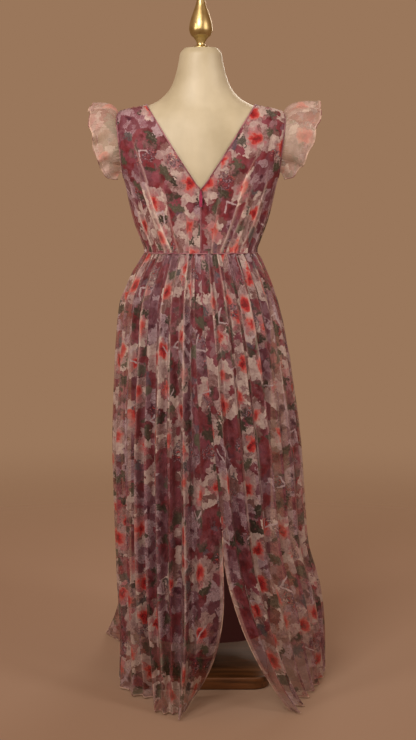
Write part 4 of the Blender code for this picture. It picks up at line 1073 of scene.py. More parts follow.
# %% Front of the bodice
front = {}
for layer in ("mesh", "lining"):
    half, doubled, hidden = bodice_half("front", u, v, FRONT_CREASES, plain=layer == "lining")
    half = edges_in(half)
    middle_rows = heights <= CENTRE_SEAM_SHARE
    half[middle_rows, -1, 0] = 0.0
    if layer == "mesh":
        half[0, :, 2] = WAIST_Z + SEAM_GAP / 2
        ruffle_seams["front"] = half[:, 0]
    doubled, hidden = (np.zeros_like(u), np.zeros_like(u)) if doubled is None else (doubled, hidden)
    other = (half * np.array([-1.0, 1.0, 1.0]))[:, ::-1]
    size = half.shape[0] * half.shape[1]
    faces = np.concatenate([grid_faces(*half.shape[:2]), grid_faces(*half.shape[:2]) + size])
    flat = cut_places(half, hidden, outward=False)
    flat, flat_other = flat * (-1, 1) + CUT_AT["bodice_front"], flat[:, ::-1] + CUT_AT["bodice_front"]
    both = np.concatenate([half.reshape(-1, 3), other.reshape(-1, 3)])
    piece = surface_object("bodice_front_" + layer, both, faces,
                           mesh_cloth if layer == "mesh" else lining_cloth,
                           np.concatenate([flat.reshape(-1, 2), flat_other.reshape(-1, 2)]),
                           {"doubled": np.concatenate([doubled.ravel(), doubled[:, ::-1].ravel()])})
    joined = bmesh.new()
    joined.from_mesh(piece.data)
    bmesh.ops.remove_doubles(joined, verts=joined.verts, dist=1e-6)
    joined.to_mesh(piece.data)
    joined.free()
    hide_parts("bodice_front")
    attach(piece, "gown")
    front[layer] = half
    print("bodice front", layer, round(2 * cloth_area(half), 4), "m2")

# %% [markdown]
# ## Flutter sleeves
# Each sleeve is one strip, narrower at its ends, gathered onto the armhole. It stands up from
# its gathered head, runs straight out over the arm, and waves at its free edge. The strip
# follows the seam line of the panels, so it is sewn where they end. It has no lining, and its
# inks are painted paler: painted light for the light that shines through the free cloth.

# %% Sleeve strips
SLEEVES = {  # reach at the shoulder, power of its narrowing, height of its head, waves, their depth
    "left": (0.049, 0.42, 0.015, 9, 0.011),
    "right": (0.067, 0.75, 0.017, 9, 0.013),
}
SLEEVE_LEAST, SLEEVE_FLARE, SLEEVE_DROOP = 0.012, 0.15, 0.014
ARMHOLE_CENTRE = (0.0, 1.225)
UNDERARM_OPEN = 0.10  # share of the armhole under the arm that has no ruffle
RUFFLE_FLAT = {"left": (0.52, 0.062, 0.80), "right": (0.56, 0.078, 0.74)}  # width, length, share of it cut


def armhole_line(front_edge, back_edge):
    """The line round the armhole along the panels' own edges, from the front underarm to the back."""
    open_to = SIDE_SEAM_SHARE + (1 - SIDE_SEAM_SHARE) * UNDERARM_OPEN
    route = np.concatenate([front_edge[heights > open_to], back_edge[heights > open_to][::-1]])
    lengths = np.append(0.0, np.cumsum(np.linalg.norm(np.diff(route, axis=0), axis=1)))
    return lambda share: np.stack([np.interp(share * lengths[-1], lengths, column) for column in route.T], -1)


def sleeve(sizes, seam_line, u, v, seed):
    """Out from the seam by reach * v, up by the head's quick rise, and in waves that grow to the edge."""
    width, narrowing, head, waves, depth = sizes
    seam = seam_line(u)
    radial = seam - np.array([0.0, *ARMHOLE_CENTRE])
    radial[..., 0] = 0.0
    radial /= np.linalg.norm(radial, axis=-1, keepdims=True)
    height = np.clip(np.sin(np.pi * u), 0.0, 1.0)
    reach = width * height**narrowing + SLEEVE_LEAST
    phase = 2 * np.pi * waves * u + 0.6 * np.sin(4 * np.pi * u)
    wave = (1 - np.cos(phase)) / 2
    small = 0.0022 * np.sin(2.3 * phase + seed) * v**1.5 * height
    pleats, doubled = fine_gathers(u, v, 46, 0.0016, 0.28, seed)
    rise = (reach * v * SLEEVE_FLARE + head * height**2 * (1 - (1 - v) ** 7)
            + depth * wave * v**0.9 * np.maximum(height, 0.1) ** 0.4 + small + pleats)
    sway = 0.0035 * np.sin(phase + 0.9 + seed) * v**1.2 * height
    point = seam + radial * rise[..., None]
    point[..., 0] += 2 * SEAM_GAP + reach * v + sway
    point[..., 2] -= SLEEVE_DROOP * v**2
    crest = wave**8 * v * 0.35
    return point, np.clip(0.5 * doubled + crest + (v > 0.955) * 0.9, 0.0, 1.0)


sleeve_u, sleeve_v = np.meshgrid(np.linspace(0, 1, 421), np.linspace(0, 1, 37))
sleeve_grids = {}
for side, sizes in SLEEVES.items():
    seam_line = armhole_line(ruffle_seams["front"], ruffle_seams["back_" + side])
    points, doubled = sleeve(sizes, seam_line, sleeve_u, sleeve_v, 0.7 if side == "left" else 2.4)
    if side == "left":
        points, doubled = (points * np.array([-1.0, 1.0, 1.0]))[:, ::-1], doubled[:, ::-1]
    sleeve_grids[side] = points
    width, length, cut_share = RUFFLE_FLAT[side]
    node = "sleeve_" + side
    flat = np.stack([sleeve_u * width, sleeve_v * length], -1) + CUT_AT[node]
    piece = add_cloth(node + "_mesh", points, flat, doubled, free_cloth, node)
    print("sleeve", side, round(cloth_area(points), 4), "m2 of", round(width * length * cut_share, 4))

# %% [markdown]
# ## The skirt
# The skirt is three panels of mesh, gathered into the waist seam and open at the back below the
# end of the centre seam. Each main fold of the plain model is a ridge or a valley that runs from
# waist to hem, and one spline goes through them all at every height. On that come smaller
# creases, and the fine pleats that the waist seam holds.

# %% Tables of the skirt
# Columns: z, left, right, back, front
SKIRT_SECTIONS = np.array([
    (WAIST_Z, 0.1315, 0.1315, 0.099, 0.100),
    (0.958, 0.144, 0.142, 0.112, 0.112),
    (0.938, 0.157, 0.151, 0.123, 0.122),
    (0.905, 0.172, 0.164, 0.138, 0.136),
    (0.871, 0.186, 0.176, 0.152, 0.150),
    (0.824, 0.193, 0.189, 0.170, 0.166),
    (0.745, 0.199, 0.205, 0.193, 0.189),
    (0.568, 0.206, 0.230, 0.232, 0.228),
    (0.427, 0.204, 0.241, 0.262, 0.258),
    (0.308, 0.201, 0.249, 0.290, 0.285),
    (0.212, 0.198, 0.276, 0.312, 0.305),
    (0.116, 0.190, 0.288, 0.330, 0.320),
    (HEM_Z, 0.187, 0.290, 0.345, 0.330),
])
# Columns: angle at the waist, angle low down, hem x, hem y, how far the next valley dips at the hem
BACK_LEFT_FOLDS = (
    (191.0, 190.0, -0.19, -0.08, 0.012), (206.0, 203.0, -0.182, -0.155, 0.01),
    (218.0, 215.0, -0.152, -0.214, 0.012), (227.0, 225.0, -0.124, -0.228, 0.05),
    (235.5, 234.0, -0.1, -0.318, 0.012), (243.5, 243.5, -0.079, -0.337, 0.012),
    (251.5, 253.0, -0.06, -0.338, 0.028), (259.0, 263.0, -0.046, -0.378, 0.02),
    (265.5, 272.5, -0.032, -0.322, 0.0),
)
BACK_RIGHT_FOLDS = (
    (275.5, 289.0, 0.216, -0.333, 0.03), (284.0, 297.0, 0.226, -0.282, 0.04),
    (293.5, 306.0, 0.24, -0.226, 0.02), (304.0, 317.0, 0.256, -0.18, 0.014),
    (313.5, 326.0, 0.27, -0.132, 0.018), (324.5, 334.0, 0.282, -0.086, 0.014),
    (338.0, 345.0, 0.29, -0.042, 0.014), (350.0, 353.0, 0.293, -0.01, 0.0),
)
FRONT_SKIRT_FOLDS = (
    (9.0, 8.0, 0.291, 0.06, 0.014), (22.0, 20.0, 0.283, 0.122, 0.03),
    (37.0, 35.0, 0.262, 0.196, 0.018), (51.0, 50.0, 0.228, 0.262, 0.042),
    (65.0, 64.0, 0.172, 0.302, 0.02), (79.0, 78.0, 0.108, 0.334, 0.048),
    (94.0, 93.0, 0.03, 0.328, 0.022), (109.0, 108.0, -0.046, 0.342, 0.046),
    (123.0, 123.0, -0.12, 0.324, 0.02), (138.0, 139.0, -0.19, 0.318, 0.04),
    (153.0, 155.0, -0.244, 0.288, 0.04), (168.0, 169.0, -0.192, 0.11, 0.0),
)
LEFT_SEAM = (180.0, 180.0, -0.181, 0.008)
RIGHT_SEAM = (360.0, 360.0, 0.281, 0.022)
CENTRE_BACK = (270.0, 281.0)
SLIT_LEFT_HEM, SLIT_RIGHT_HEM = (-0.014, -0.215), (0.192, -0.312)
SLIT_LEFT_POWER, SLIT_RIGHT_POWER = 3.0, 2.2
HEM_POWER = 7.0
WAIST_DEPTH, SKIRT_DEPTH, SIDE_SHARE = 0.0042, 0.026, 0.45


def skirt_section(angle, z, inward):
    """Plan point of the skirt at height z: the section's rounded ellipse, drawn in from its ridges."""
    table = SKIRT_SECTIONS[::-1]
    row = np.interp(z, table[:, 0], np.arange(len(table)))
    _, left, right, back, front = np.moveaxis(smooth_rows(table, row), -1, 0)
    turn = np.radians(angle)
    cosine, sine = np.cos(turn), np.sin(turn)
    x = np.where(cosine < 0, left, right) * squared(cosine)
    y = np.where(sine < 0, back, front) * squared(sine)
    shrink = 1 - inward / np.hypot(x, y)
    return np.stack([x * shrink, y * shrink], -1)


def fold_depth(angle, drop):
    """How far a valley lies inside the ridges: shallow at the waist and towards the sides."""
    side = 1 - SIDE_SHARE * np.cos(np.radians(angle)) ** 4
    return WAIST_DEPTH + (SKIRT_DEPTH - WAIST_DEPTH) * np.clip(drop * 1.6, 0.0, 1.0) ** 0.8 * side


def crease(z, waist_angle, low_angle, hem, valley, late=None):
    """One ridge or valley from waist to hem: it leaves its section late, for its own place on the hem."""
    drop = (WAIST_Z - z) / (WAIST_Z - HEM_Z)
    slit_drop = (WAIST_Z - SLIT_TOP_Z) / (WAIST_Z - HEM_Z)
    if late is None:
        angle = waist_angle + (low_angle - waist_angle) * drop
        share = np.clip(drop, 0.0, 1.0) ** HEM_POWER
    else:
        angle = waist_angle + (low_angle - waist_angle) * np.clip(drop / slit_drop, 0.0, 1.0) ** 1.3
        share = np.clip((drop - slit_drop) / (1 - slit_drop), 0.0, 1.0) ** late
    inward = fold_depth(angle, drop) if valley else np.zeros_like(z)
    plan = skirt_section(angle, z, inward)
    return plan + (np.array(hem) - plan) * share[..., None]


def skirt_creases(z, folds, start, end):
    """All creases of a panel in order: its first edge, ridge, valley, ridge and so on, its last edge."""
    columns = [start(z)]
    for number, (waist_angle, low_angle, hem_x, hem_y, dip) in enumerate(folds):
        columns.append(crease(z, waist_angle, low_angle, (hem_x, hem_y), valley=False))
        if number + 1 < len(folds):
            following = folds[number + 1]
            between = np.array([(hem_x + following[2]) / 2, (hem_y + following[3]) / 2])
            hem = between * (1 - dip / np.hypot(*between))
            columns.append(crease(z, (waist_angle + following[0]) / 2, (low_angle + following[1]) / 2,
                                  hem, valley=True))
    columns.append(end(z))
    return np.array(columns)


def left_seam(z):
    return crease(z, *LEFT_SEAM[:2], LEFT_SEAM[2:], valley=True)


def right_seam(z):
    return crease(z, *RIGHT_SEAM[:2], RIGHT_SEAM[2:], valley=True)


def slit_left(z):
    return crease(z, *CENTRE_BACK, SLIT_LEFT_HEM, valley=True, late=SLIT_LEFT_POWER)


def slit_right(z):
    return crease(z, *CENTRE_BACK, SLIT_RIGHT_HEM, valley=True, late=SLIT_RIGHT_POWER)


print("main folds:", len(BACK_LEFT_FOLDS) + len(BACK_RIGHT_FOLDS) + len(FRONT_SKIRT_FOLDS))

# %% Tucks and creases of the skirt
# Columns: place across at the waist and at the hem (0 to 1), how far below the waist in metres its edge
# stands up, height in mm, side that lies over, how doubled the cloth is along it
BACK_LEFT_TUCKS = (
    (0.05, 0.045, 0.6, 2.5, 1, 0.6), (0.105, 0.115, 0.35, 2.0, -1, 0.4), (0.172, 0.162, 0.98, 4.0, 1, 1.0),
    (0.225, 0.215, 0.22, 2.0, 1, 0.4), (0.285, 0.29, 0.5, 3.0, -1, 0.7), (0.34, 0.345, 0.72, 2.2, -1, 0.4),
    (0.395, 0.385, 0.98, 4.5, 1, 1.0), (0.475, 0.49, 0.3, 2.0, -1, 0.5), (0.56, 0.562, 0.66, 2.5, 1, 0.4),
    (0.615, 0.607, 0.98, 4.0, 1, 0.9), (0.725, 0.73, 0.55, 3.5, -1, 0.8), (0.782, 0.775, 0.28, 2.2, 1, 0.5),
    (0.838, 0.828, 0.98, 4.0, 1, 1.0), (0.905, 0.91, 0.45, 2.2, -1, 0.6), (0.952, 0.955, 0.62, 2.5, -1, 0.4),
)
BACK_RIGHT_TUCKS = (
    (0.058, 0.065, 0.55, 3.0, 1, 0.7), (0.122, 0.115, 0.3, 2.2, 1, 0.5), (0.19, 0.222, 0.98, 4.0, 1, 0.9),
    (0.25, 0.262, 0.42, 2.0, -1, 0.5), (0.318, 0.322, 0.6, 2.5, -1, 0.5), (0.372, 0.365, 0.98, 3.5, 1, 0.8),
    (0.44, 0.432, 0.5, 4.0, 1, 0.8), (0.5, 0.51, 0.35, 2.5, -1, 0.6), (0.575, 0.578, 0.45, 2.5, -1, 0.4),
    (0.632, 0.625, 0.32, 2.2, 1, 0.5), (0.69, 0.7, 0.98, 4.0, 1, 1.0), (0.752, 0.76, 0.38, 2.0, -1, 0.4),
    (0.815, 0.82, 0.64, 3.0, -1, 0.7), (0.88, 0.872, 0.98, 2.6, 1, 0.5), (0.94, 0.935, 0.4, 2.5, 1, 0.6),
)
FRONT_SKIRT_TUCKS = (
    (0.042, 0.046, 0.5, 3.5, -1, 0.8), (0.084, 0.08, 0.35, 2.0, 1, 0.4), (0.128, 0.12, 0.98, 3.0, 1, 0.6),
    (0.168, 0.172, 0.25, 2.2, -1, 0.5), (0.21, 0.214, 0.98, 3.5, -1, 0.9), (0.252, 0.248, 0.4, 2.0, 1, 0.4),
    (0.294, 0.288, 0.62, 4.5, 1, 1.0), (0.336, 0.342, 0.98, 3.2, -1, 0.8), (0.376, 0.38, 0.44, 2.5, -1, 0.5),
    (0.418, 0.412, 0.32, 2.0, 1, 0.4), (0.46, 0.455, 0.98, 4.0, 1, 1.0), (0.5, 0.503, 0.5, 2.2, -1, 0.5),
    (0.545, 0.548, 0.7, 3.0, -1, 0.6), (0.584, 0.58, 0.28, 2.0, 1, 0.4), (0.627, 0.621, 0.98, 4.5, 1, 1.0),
    (0.668, 0.664, 0.45, 2.4, -1, 0.5), (0.71, 0.714, 0.58, 2.5, -1, 0.5), (0.75, 0.746, 0.98, 3.0, 1, 0.6),
    (0.794, 0.788, 0.52, 4.0, 1, 0.9), (0.834, 0.838, 0.3, 2.2, -1, 0.5), (0.877, 0.881, 0.98, 3.0, -1, 0.7),
    (0.918, 0.914, 0.4, 2.0, 1, 0.4), (0.96, 0.956, 0.66, 3.5, 1, 0.8),
)
SKIRT_TUCKS = {"skirt_back_left": BACK_LEFT_TUCKS, "skirt_back_right": BACK_RIGHT_TUCKS,
               "skirt_front": FRONT_SKIRT_TUCKS}
# Columns: place across, start and end below the waist in metres, height in mm (a trough below 0), width in mm
BACK_LEFT_SOFT_CREASES = (
    (0.08, 0.1, 0.5, -2.0, 8.0), (0.2, 0.3, 0.85, 2.5, 9.0), (0.31, 0.05, 0.35, -2.5, 7.0),
    (0.43, 0.25, 0.9, -3.0, 10.0), (0.53, 0.4, 0.95, 2.5, 9.0), (0.64, 0.08, 0.4, 2.0, 7.0),
    (0.76, 0.35, 0.95, -3.0, 11.0), (0.87, 0.2, 0.7, 2.5, 8.0), (0.92, 0.5, 0.95, -2.0, 9.0),
)
BACK_RIGHT_SOFT_CREASES = (
    (0.09, 0.15, 0.6, -2.5, 8.0), (0.16, 0.4, 0.95, 2.0, 9.0), (0.28, 0.1, 0.45, -2.0, 7.0),
    (0.4, 0.3, 0.9, 2.5, 10.0), (0.53, 0.2, 0.65, -3.0, 9.0), (0.65, 0.45, 0.95, 2.5, 9.0),
    (0.78, 0.12, 0.5, 2.0, 8.0), (0.85, 0.35, 0.9, -2.5, 10.0),
)
FRONT_SKIRT_SOFT_CREASES = (
    (0.06, 0.2, 0.7, -2.5, 9.0), (0.15, 0.35, 0.95, 2.5, 10.0), (0.23, 0.08, 0.4, -2.0, 7.0),
    (0.35, 0.4, 0.95, -3.0, 11.0), (0.44, 0.15, 0.6, 2.5, 8.0), (0.52, 0.3, 0.9, -2.5, 9.0),
    (0.6, 0.1, 0.5, 2.0, 8.0), (0.69, 0.4, 0.95, 2.5, 10.0), (0.77, 0.2, 0.65, -2.5, 8.0),
    (0.85, 0.3, 0.9, 2.5, 10.0), (0.94, 0.15, 0.55, -2.0, 8.0),
)
SKIRT_SOFT_CREASES = {"skirt_back_left": BACK_LEFT_SOFT_CREASES, "skirt_back_right": BACK_RIGHT_SOFT_CREASES,
                      "skirt_front": FRONT_SKIRT_SOFT_CREASES}
SKIRT_LENGTH = 0.985
SKIRT_WIDTHS = {  # of the flat cut: at the waist, at the hem
    "skirt_back_left": (0.720, 0.720), "skirt_back_right": (0.560, 0.560), "skirt_front": (1.190, 1.330)}
TUCK_EDGE = 0.0009  # half the width of the step where a tuck turns over
PLEAT_PITCH, PLEAT_HEIGHT, PLEAT_REACH = 0.0078, 0.0024, 0.085  # fine pleats at the waist seam


def threaded(knots, place):
    """Points along each level's cubic through its knots, at fractional places that differ by level."""
    low = np.clip(np.floor(place).astype(int), 0, knots.shape[1] - 2)
    part = (place - low)[..., None]

    def pick(index):
        return np.take_along_axis(knots, index[..., None], axis=1)

    here, there = pick(low), pick(low + 1)
    before, after = pick(np.maximum(low - 1, 0)), pick(np.minimum(low + 2, knots.shape[1] - 1))
    leave = np.where((low == 0)[..., None], there - here, (there - before) / 2)
    arrive = np.where((low == knots.shape[1] - 2)[..., None], there - here, (after - here) / 2)
    return cubic(here, there, leave, arrive, part)


print("tucks:", sum(len(table) for table in SKIRT_TUCKS.values()))

# %% A skirt panel with its tucks


def tucked_columns(knots, tucks, drop, per_strip):
    """Shares across for all columns: each strip between two tucks has the same number of columns, and a
    tuck is the narrow step between the last column of one strip and the first of the next."""
    even = np.linspace(0, knots.shape[1] - 1, 200)[None, :] + 0 * drop[:, None]
    length = row_distance(threaded(knots, even))[:, -1]
    fall = drop / (WAIST_Z - HEM_Z)
    lines = [np.zeros_like(drop)]
    for at_waist, at_hem, *_ in tucks:
        lines.append(at_waist + (at_hem - at_waist) * fall + 0.0022 * np.sin(9.0 * drop + 31.0 * at_waist))
    lines.append(np.ones_like(drop))
    edge = TUCK_EDGE / length
    strips = []
    for number, (first, last) in enumerate(zip(lines[:-1], lines[1:])):
        first = first + (edge if number > 0 else 0)
        last = last - (edge if number < len(lines) - 2 else 0)
        strips.append(first[:, None] + (last - first)[:, None] * np.linspace(0, 1, per_strip))
    return np.concatenate(strips, axis=1)


def places_across(along, tucks, fall, per_strip, flat_width):
    """Place across the flat cloth: the distance along the row, plus what the tucks before it hide. At each
    level the tucks share the cloth that the row doesn't show, and a tuck that has ended holds none."""
    squeeze = 1 + 0.35 * np.exp(-fall / 0.08)[:, None]
    spare = np.maximum(flat_width - squeeze * along[:, -1:], 0.0)
    table = np.array(tucks)
    held = (0.4 + table[:, 5]) * np.clip((table[:, 2] + 0.10 - fall[:, None]) / 0.20, 0.0, 1.0)
    hidden = np.cumsum(spare * held / np.maximum(held.sum(axis=1, keepdims=True), 0.2), axis=1)
    hidden = np.concatenate([0 * spare, hidden], axis=1)
    return squeeze * along + np.repeat(hidden, per_strip, axis=1)


def skirt_panel(name, folds, start, end, levels, per_strip):
    """Points, doubling, distance along and flat places of one panel of the skirt."""
    tucks, widths = SKIRT_TUCKS[name], SKIRT_WIDTHS[name]
    knots = skirt_creases(levels, folds, start, end).swapaxes(0, 1)
    fall = WAIST_Z - levels
    share = tucked_columns(knots, tucks, fall, per_strip)
    plan = threaded(knots, share * (knots.shape[1] - 1))
    along = row_distance(plan)
    drop = fall[:, None] + 0 * along
    tangent = np.gradient(plan, axis=1)
    outward = np.stack([tangent[..., 1], -tangent[..., 0]], -1)
    outward /= np.linalg.norm(outward, axis=-1, keepdims=True)
    height, doubled = np.zeros_like(along), np.zeros_like(along)
    for number, (_, _, bottom, tall, over_side, double) in enumerate(tucks):
        last = (number + 1) * per_strip - 1
        away = over_side * (along - along[:, last:last + 2].mean(axis=1, keepdims=True))
        reach = 0.007 + 0.018 * drop
        fade = np.clip((bottom + 0.10 - drop) / 0.20, 0.0, 1.0) * np.clip(0.45 + drop / 0.10, 0.0, 1.0)
        fade = fade * (0.80 + 0.20 * np.sin(11.0 * drop + 23.0 * number))
        height += 0.001 * tall * fade * (away > 0) * np.exp(-(np.maximum(away, 0) / reach) ** 1.3)
        line = np.where(away > 0, np.exp(-(away / 0.0024) ** 2), (away > -0.0014) * 0.6)
        broken = 0.62 + 0.38 * np.sin(19.0 * drop + 5.0 * number) * np.sin(7.0 * drop + 2.0 * number)
        doubled = np.maximum(doubled, double * fade * line * broken)
    for place, top, bottom, tall, wide in SKIRT_SOFT_CREASES[name]:
        column = np.argmin(np.abs(share - place - 0.01 * np.sin(6.0 * drop + 40.0 * place)), axis=1)
        away = along - np.take_along_axis(along, column[:, None], axis=1)
        fade = np.clip((drop - top) / 0.08, 0, 1) * np.clip((bottom - drop) / (0.4 * (bottom - top)), 0, 1)
        height += 0.001 * tall * fade * np.exp(-(away / (0.001 * wide * (0.7 + 0.8 * drop))) ** 2)
    count = int(round(along[-1, -1] / PLEAT_PITCH))
    pleats, pleats_doubled = fine_gathers(share, drop, count, PLEAT_HEIGHT, PLEAT_REACH, len(folds) * 0.7)
    calm = np.clip(np.minimum(share, 1 - share) / 0.02, 0.0, 1.0)
    offset = calm * np.clip(drop / 0.012, 0.25, 1.0) * (height + pleats - 0.0008)
    raised = levels[:, None, None] + 0 * plan[..., :1]
    points = np.concatenate([plan + outward * offset[..., None], raised], -1)
    doubled = np.clip(doubled + 0.35 * pleats_doubled, 0.0, 1.0)

    flat_width = np.interp(fall, (0.0, WAIST_Z - HEM_Z), widths)[:, None]
    across = places_across(along, tucks, fall, per_strip, flat_width)
    flat = np.stack([across, (levels[:, None] - HEM_Z) / (WAIST_Z - HEM_Z) * SKIRT_LENGTH + 0 * across], -1)
    return edges_in(points), doubled, along, flat


levels = np.concatenate([np.linspace(HEM_Z, 0.06, 9)[:-1], np.linspace(0.06, 0.86, 78)[:-1],
                         np.linspace(0.86, WAIST_Z - SEAM_GAP / 2, 34)])
skirt_points = {}
for name, folds, start, end, slit_column, per_strip in (
        ("skirt_back_left", BACK_LEFT_FOLDS, left_seam, slit_left, -1, 15),
        ("skirt_back_right", BACK_RIGHT_FOLDS, slit_right, right_seam, 0, 15),
        ("skirt_front", FRONT_SKIRT_FOLDS, right_seam, left_seam, None, 13)):
    points, doubled, along, flat = skirt_panel(name, folds, start, end, levels, per_strip)
    doubled = np.maximum(doubled, 0.75 * (points[..., 2] < HEM_Z + 0.006))
    if slit_column is not None:
        from_slit = along if slit_column == 0 else along[:, -1:] - along
        low = np.clip((SLIT_TOP_Z - points[..., 2]) / 0.04, 0.0, 1.0)
        doubled = np.maximum(doubled, 0.85 * np.clip((0.011 - from_slit) / 0.002, 0.0, 1.0) * low)
    skirt_points[name] = points
    piece = add_cloth(name + "_mesh", points, flat + CUT_AT[name], doubled, hung_cloth, name)

# %% [markdown]
# ## The lining of the skirt
# A plain tube of crepe, shorter than the mesh. Its crepe is a darker copy of the bodice's
# lining: painted shade for the dark inside of the skirt. It falls in a few soft flutes, which
# the mesh would show as darker stripes if it were pressed against it.

# %% Lining tube
LINING_HEM, LINING_TOP, LINING_FLAT = 0.104, 0.9765, (0.50, 0.873)
LINING_SECTIONS = np.array([  # z, half width, back, front
    (LINING_TOP, 0.1243, 0.0918, 0.0928), (0.940, 0.141, 0.105, 0.104), (0.895, 0.1530, 0.114, 0.110),
    (0.845, 0.160, 0.122, 0.118), (0.450, 0.163, 0.146, 0.142),
    (LINING_HEM, 0.164, 0.156, 0.152)])


def lining_point(angle, z):
    """Plan section of the tube at height z, with flutes that grow towards the hem."""
    table = LINING_SECTIONS[::-1]
    width, back, front = (np.interp(z, table[:, 0], table[:, column]) for column in (1, 2, 3))
    turn = np.radians(angle)
    drop = np.clip((0.86 - z) / 0.76, 0.0, 1.0)
    flute = 1 - drop**1.3 * 0.012 * (1 + np.sin(9 * turn + 1.1 + 0.9 * np.sin(2 * turn)))
    depth = np.where(np.sin(turn) < 0, back, front)
    return np.stack([width * squared(np.cos(turn)) * flute, depth * squared(np.sin(turn)) * flute, z], -1)


lining_levels = np.linspace(LINING_HEM, LINING_TOP, 70)
for name, first in (("lining_back", 180.0), ("lining_front", 0.0)):
    angles, tall = np.meshgrid(np.linspace(first, first + 180.0, 121), lining_levels)
    points = edges_in(lining_point(angles, tall))
    flat = np.stack([(angles - first) / 180.0 * LINING_FLAT[0], tall - LINING_HEM], -1)
    # The skirt's crepe is the darker copy: painted shade inside the skirt
    piece = add_cloth(name + "_crepe", points, flat, np.zeros(angles.shape), shaded_lining, name)
    print(name, "cloth", round(cloth_area(points), 3), "m2 of", round(math.prod(LINING_FLAT), 3))

# %% [markdown]
# ## Sewn edges
# A gown's edges are turned and stitched: a narrow binding runs round the V and the front
# neckline, the armholes have one too, the waist seam stands up a little, and hem and slit end
# in a rolled cord. Each is a small section carried along the edge of the panels, so that it
# sits exactly where they end. The stitches are short spindles, one mesh for each edge.

# %% Binding cloth


def binding_mesh(name, hex_dark, hex_pale):
    """The same mesh folded three times into a binding: nearly opaque, wine with paler dabs of the print."""
    made, tree, shader = new_material(name)
    place = add_node(tree, "ShaderNodeTexCoord").outputs["Object"]
    dabs = add_node(tree, "ShaderNodeTexVoronoi", {"Vector": place, "Scale": 75.0})
    chance = add_node(tree, "ShaderNodeSeparateColor", {"Color": dabs.outputs["Color"]}).outputs
    wash = add_node(tree, "ShaderNodeTexNoise", {"Vector": place, "Scale": 120.0, "Detail": 3.0})
    tone = add_node(tree, "ShaderNodeMix", {"Factor": 0.4, 2: chance["Red"], 3: wash.outputs["Fac"]},
                    data_type="FLOAT")
    colour = ink_ramp(tree, tone.outputs["Result"], ((0.25, hex_dark), (0.62, hex_pale)))
    tree.links.new(colour, shader.inputs["Base Color"])
    threads = add_node(tree, "ShaderNodeTexNoise", {"Vector": place, "Scale": 900.0, "Detail": 1.0})
    bump = add_node(tree, "ShaderNodeBump", {"Height": threads.outputs["Fac"], "Strength": 0.3,
                                             "Distance": 0.0003})
    tree.links.new(bump.outputs[0], shader.inputs["Normal"])
    shader.inputs["Roughness"].default_value = 0.66
    shader.inputs["Sheen Weight"].default_value = 0.2
    return made


def spun_thread():
    """Spun polyester sewing thread in wine, with the twist drawn at about 1.5 mm as paler and darker bands:
    painted highlight and shade.
    """
    made, tree, shader = new_material("spun_polyester_thread")
    place = add_node(tree, "ShaderNodeTexCoord").outputs["Object"]
    twist = add_node(tree, "ShaderNodeTexWave", {"Vector": place, "Scale": 270.0}, bands_direction="DIAGONAL")
    # Paler and darker bands along the twist: painted highlight and shade of the plies
    colour = ink_ramp(tree, twist.outputs["Fac"], ((0.2, "#5B2530"), (0.8, "#8E525C")))
    tree.links.new(colour, shader.inputs["Base Color"])
    shader.inputs["Roughness"].default_value = 0.55
    return made


binding = binding_mesh("folded_mesh_binding_wine", "#66283A", "#94606A")
rolled = binding_mesh("rolled_mesh_hem_pale", "#7C4A4C", "#C4A898")
thread = spun_thread()
print("bindings:", binding.name, rolled.name)

# %% Sections carried along an edge


def unit(vectors):
    """Vectors of length one."""
    return vectors / np.maximum(np.linalg.norm(vectors, axis=-1, keepdims=True), 1e-12)


def carried(name, path, inward, outward, section, material, closed=False):
    """A closed section (across, out) in millimetres carried along a path: point = path + inward * across +
    outward * out. An open path gets a cap at each end."""
    inward = unit(inward)
    outward = unit(outward - inward * (outward * inward).sum(axis=-1, keepdims=True))
    shape = 0.001 * np.array(section)
    shell = path[:, None] + inward[:, None] * shape[None, :, :1] + outward[:, None] * shape[None, :, 1:]
    rows, sides = shell.shape[:2]
    if closed:
        shell = np.concatenate([shell, shell[:1]])
        rows += 1
    faces = grid_faces(rows, sides, closed=True).tolist()
    if not closed:
        faces += [list(range(sides))[::-1], list(range((rows - 1) * sides, rows * sides))]
    piece = surface_object(name, shell, faces, material)
    merged = bmesh.new()
    merged.from_mesh(piece.data)
    bmesh.ops.remove_doubles(merged, verts=merged.verts, dist=1e-6)
    bmesh.ops.recalc_face_normals(merged, faces=merged.faces)
    merged.to_mesh(piece.data)
    merged.free()
    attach(piece, "gown")
    return piece


def stitches(name, path, outward, spacing, length, lift):
    """Stitches: a small four-sided spindle every spacing along the path, lying along it."""
    steps = np.linalg.norm(np.diff(path, axis=0), axis=1)
    along = np.append(0.0, np.cumsum(steps))
    at = np.arange(spacing, along[-1] - spacing / 2, spacing)
    centre = np.stack([np.interp(at, along, column) for column in path.T], -1)
    ahead = unit(np.stack([np.interp(at + 0.001, along, column) for column in path.T], -1) - centre)
    out = unit(np.stack([np.interp(at, along, column) for column in outward.T], -1))
    side = unit(np.cross(ahead, out))
    centre = centre + out * lift
    turn = np.arange(4) * math.tau / 4
    ring = np.cos(turn)[:, None, None] * side[None] + np.sin(turn)[:, None, None] * out[None]
    waist = centre[None] + ring * THREAD_RADIUS
    tips = np.stack([centre - ahead * length / 2, centre + ahead * length / 2])
    points = np.concatenate([waist, tips]).swapaxes(0, 1)
    one = np.array([(4, (k + 1) % 4, k) for k in range(4)] + [(5, k, (k + 1) % 4) for k in range(4)])
    faces = (one[None] + 6 * np.arange(len(at))[:, None, None]).reshape(-1, 3)
    piece = surface_object(name, points, faces, thread)
    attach(piece, "gown")
    return piece


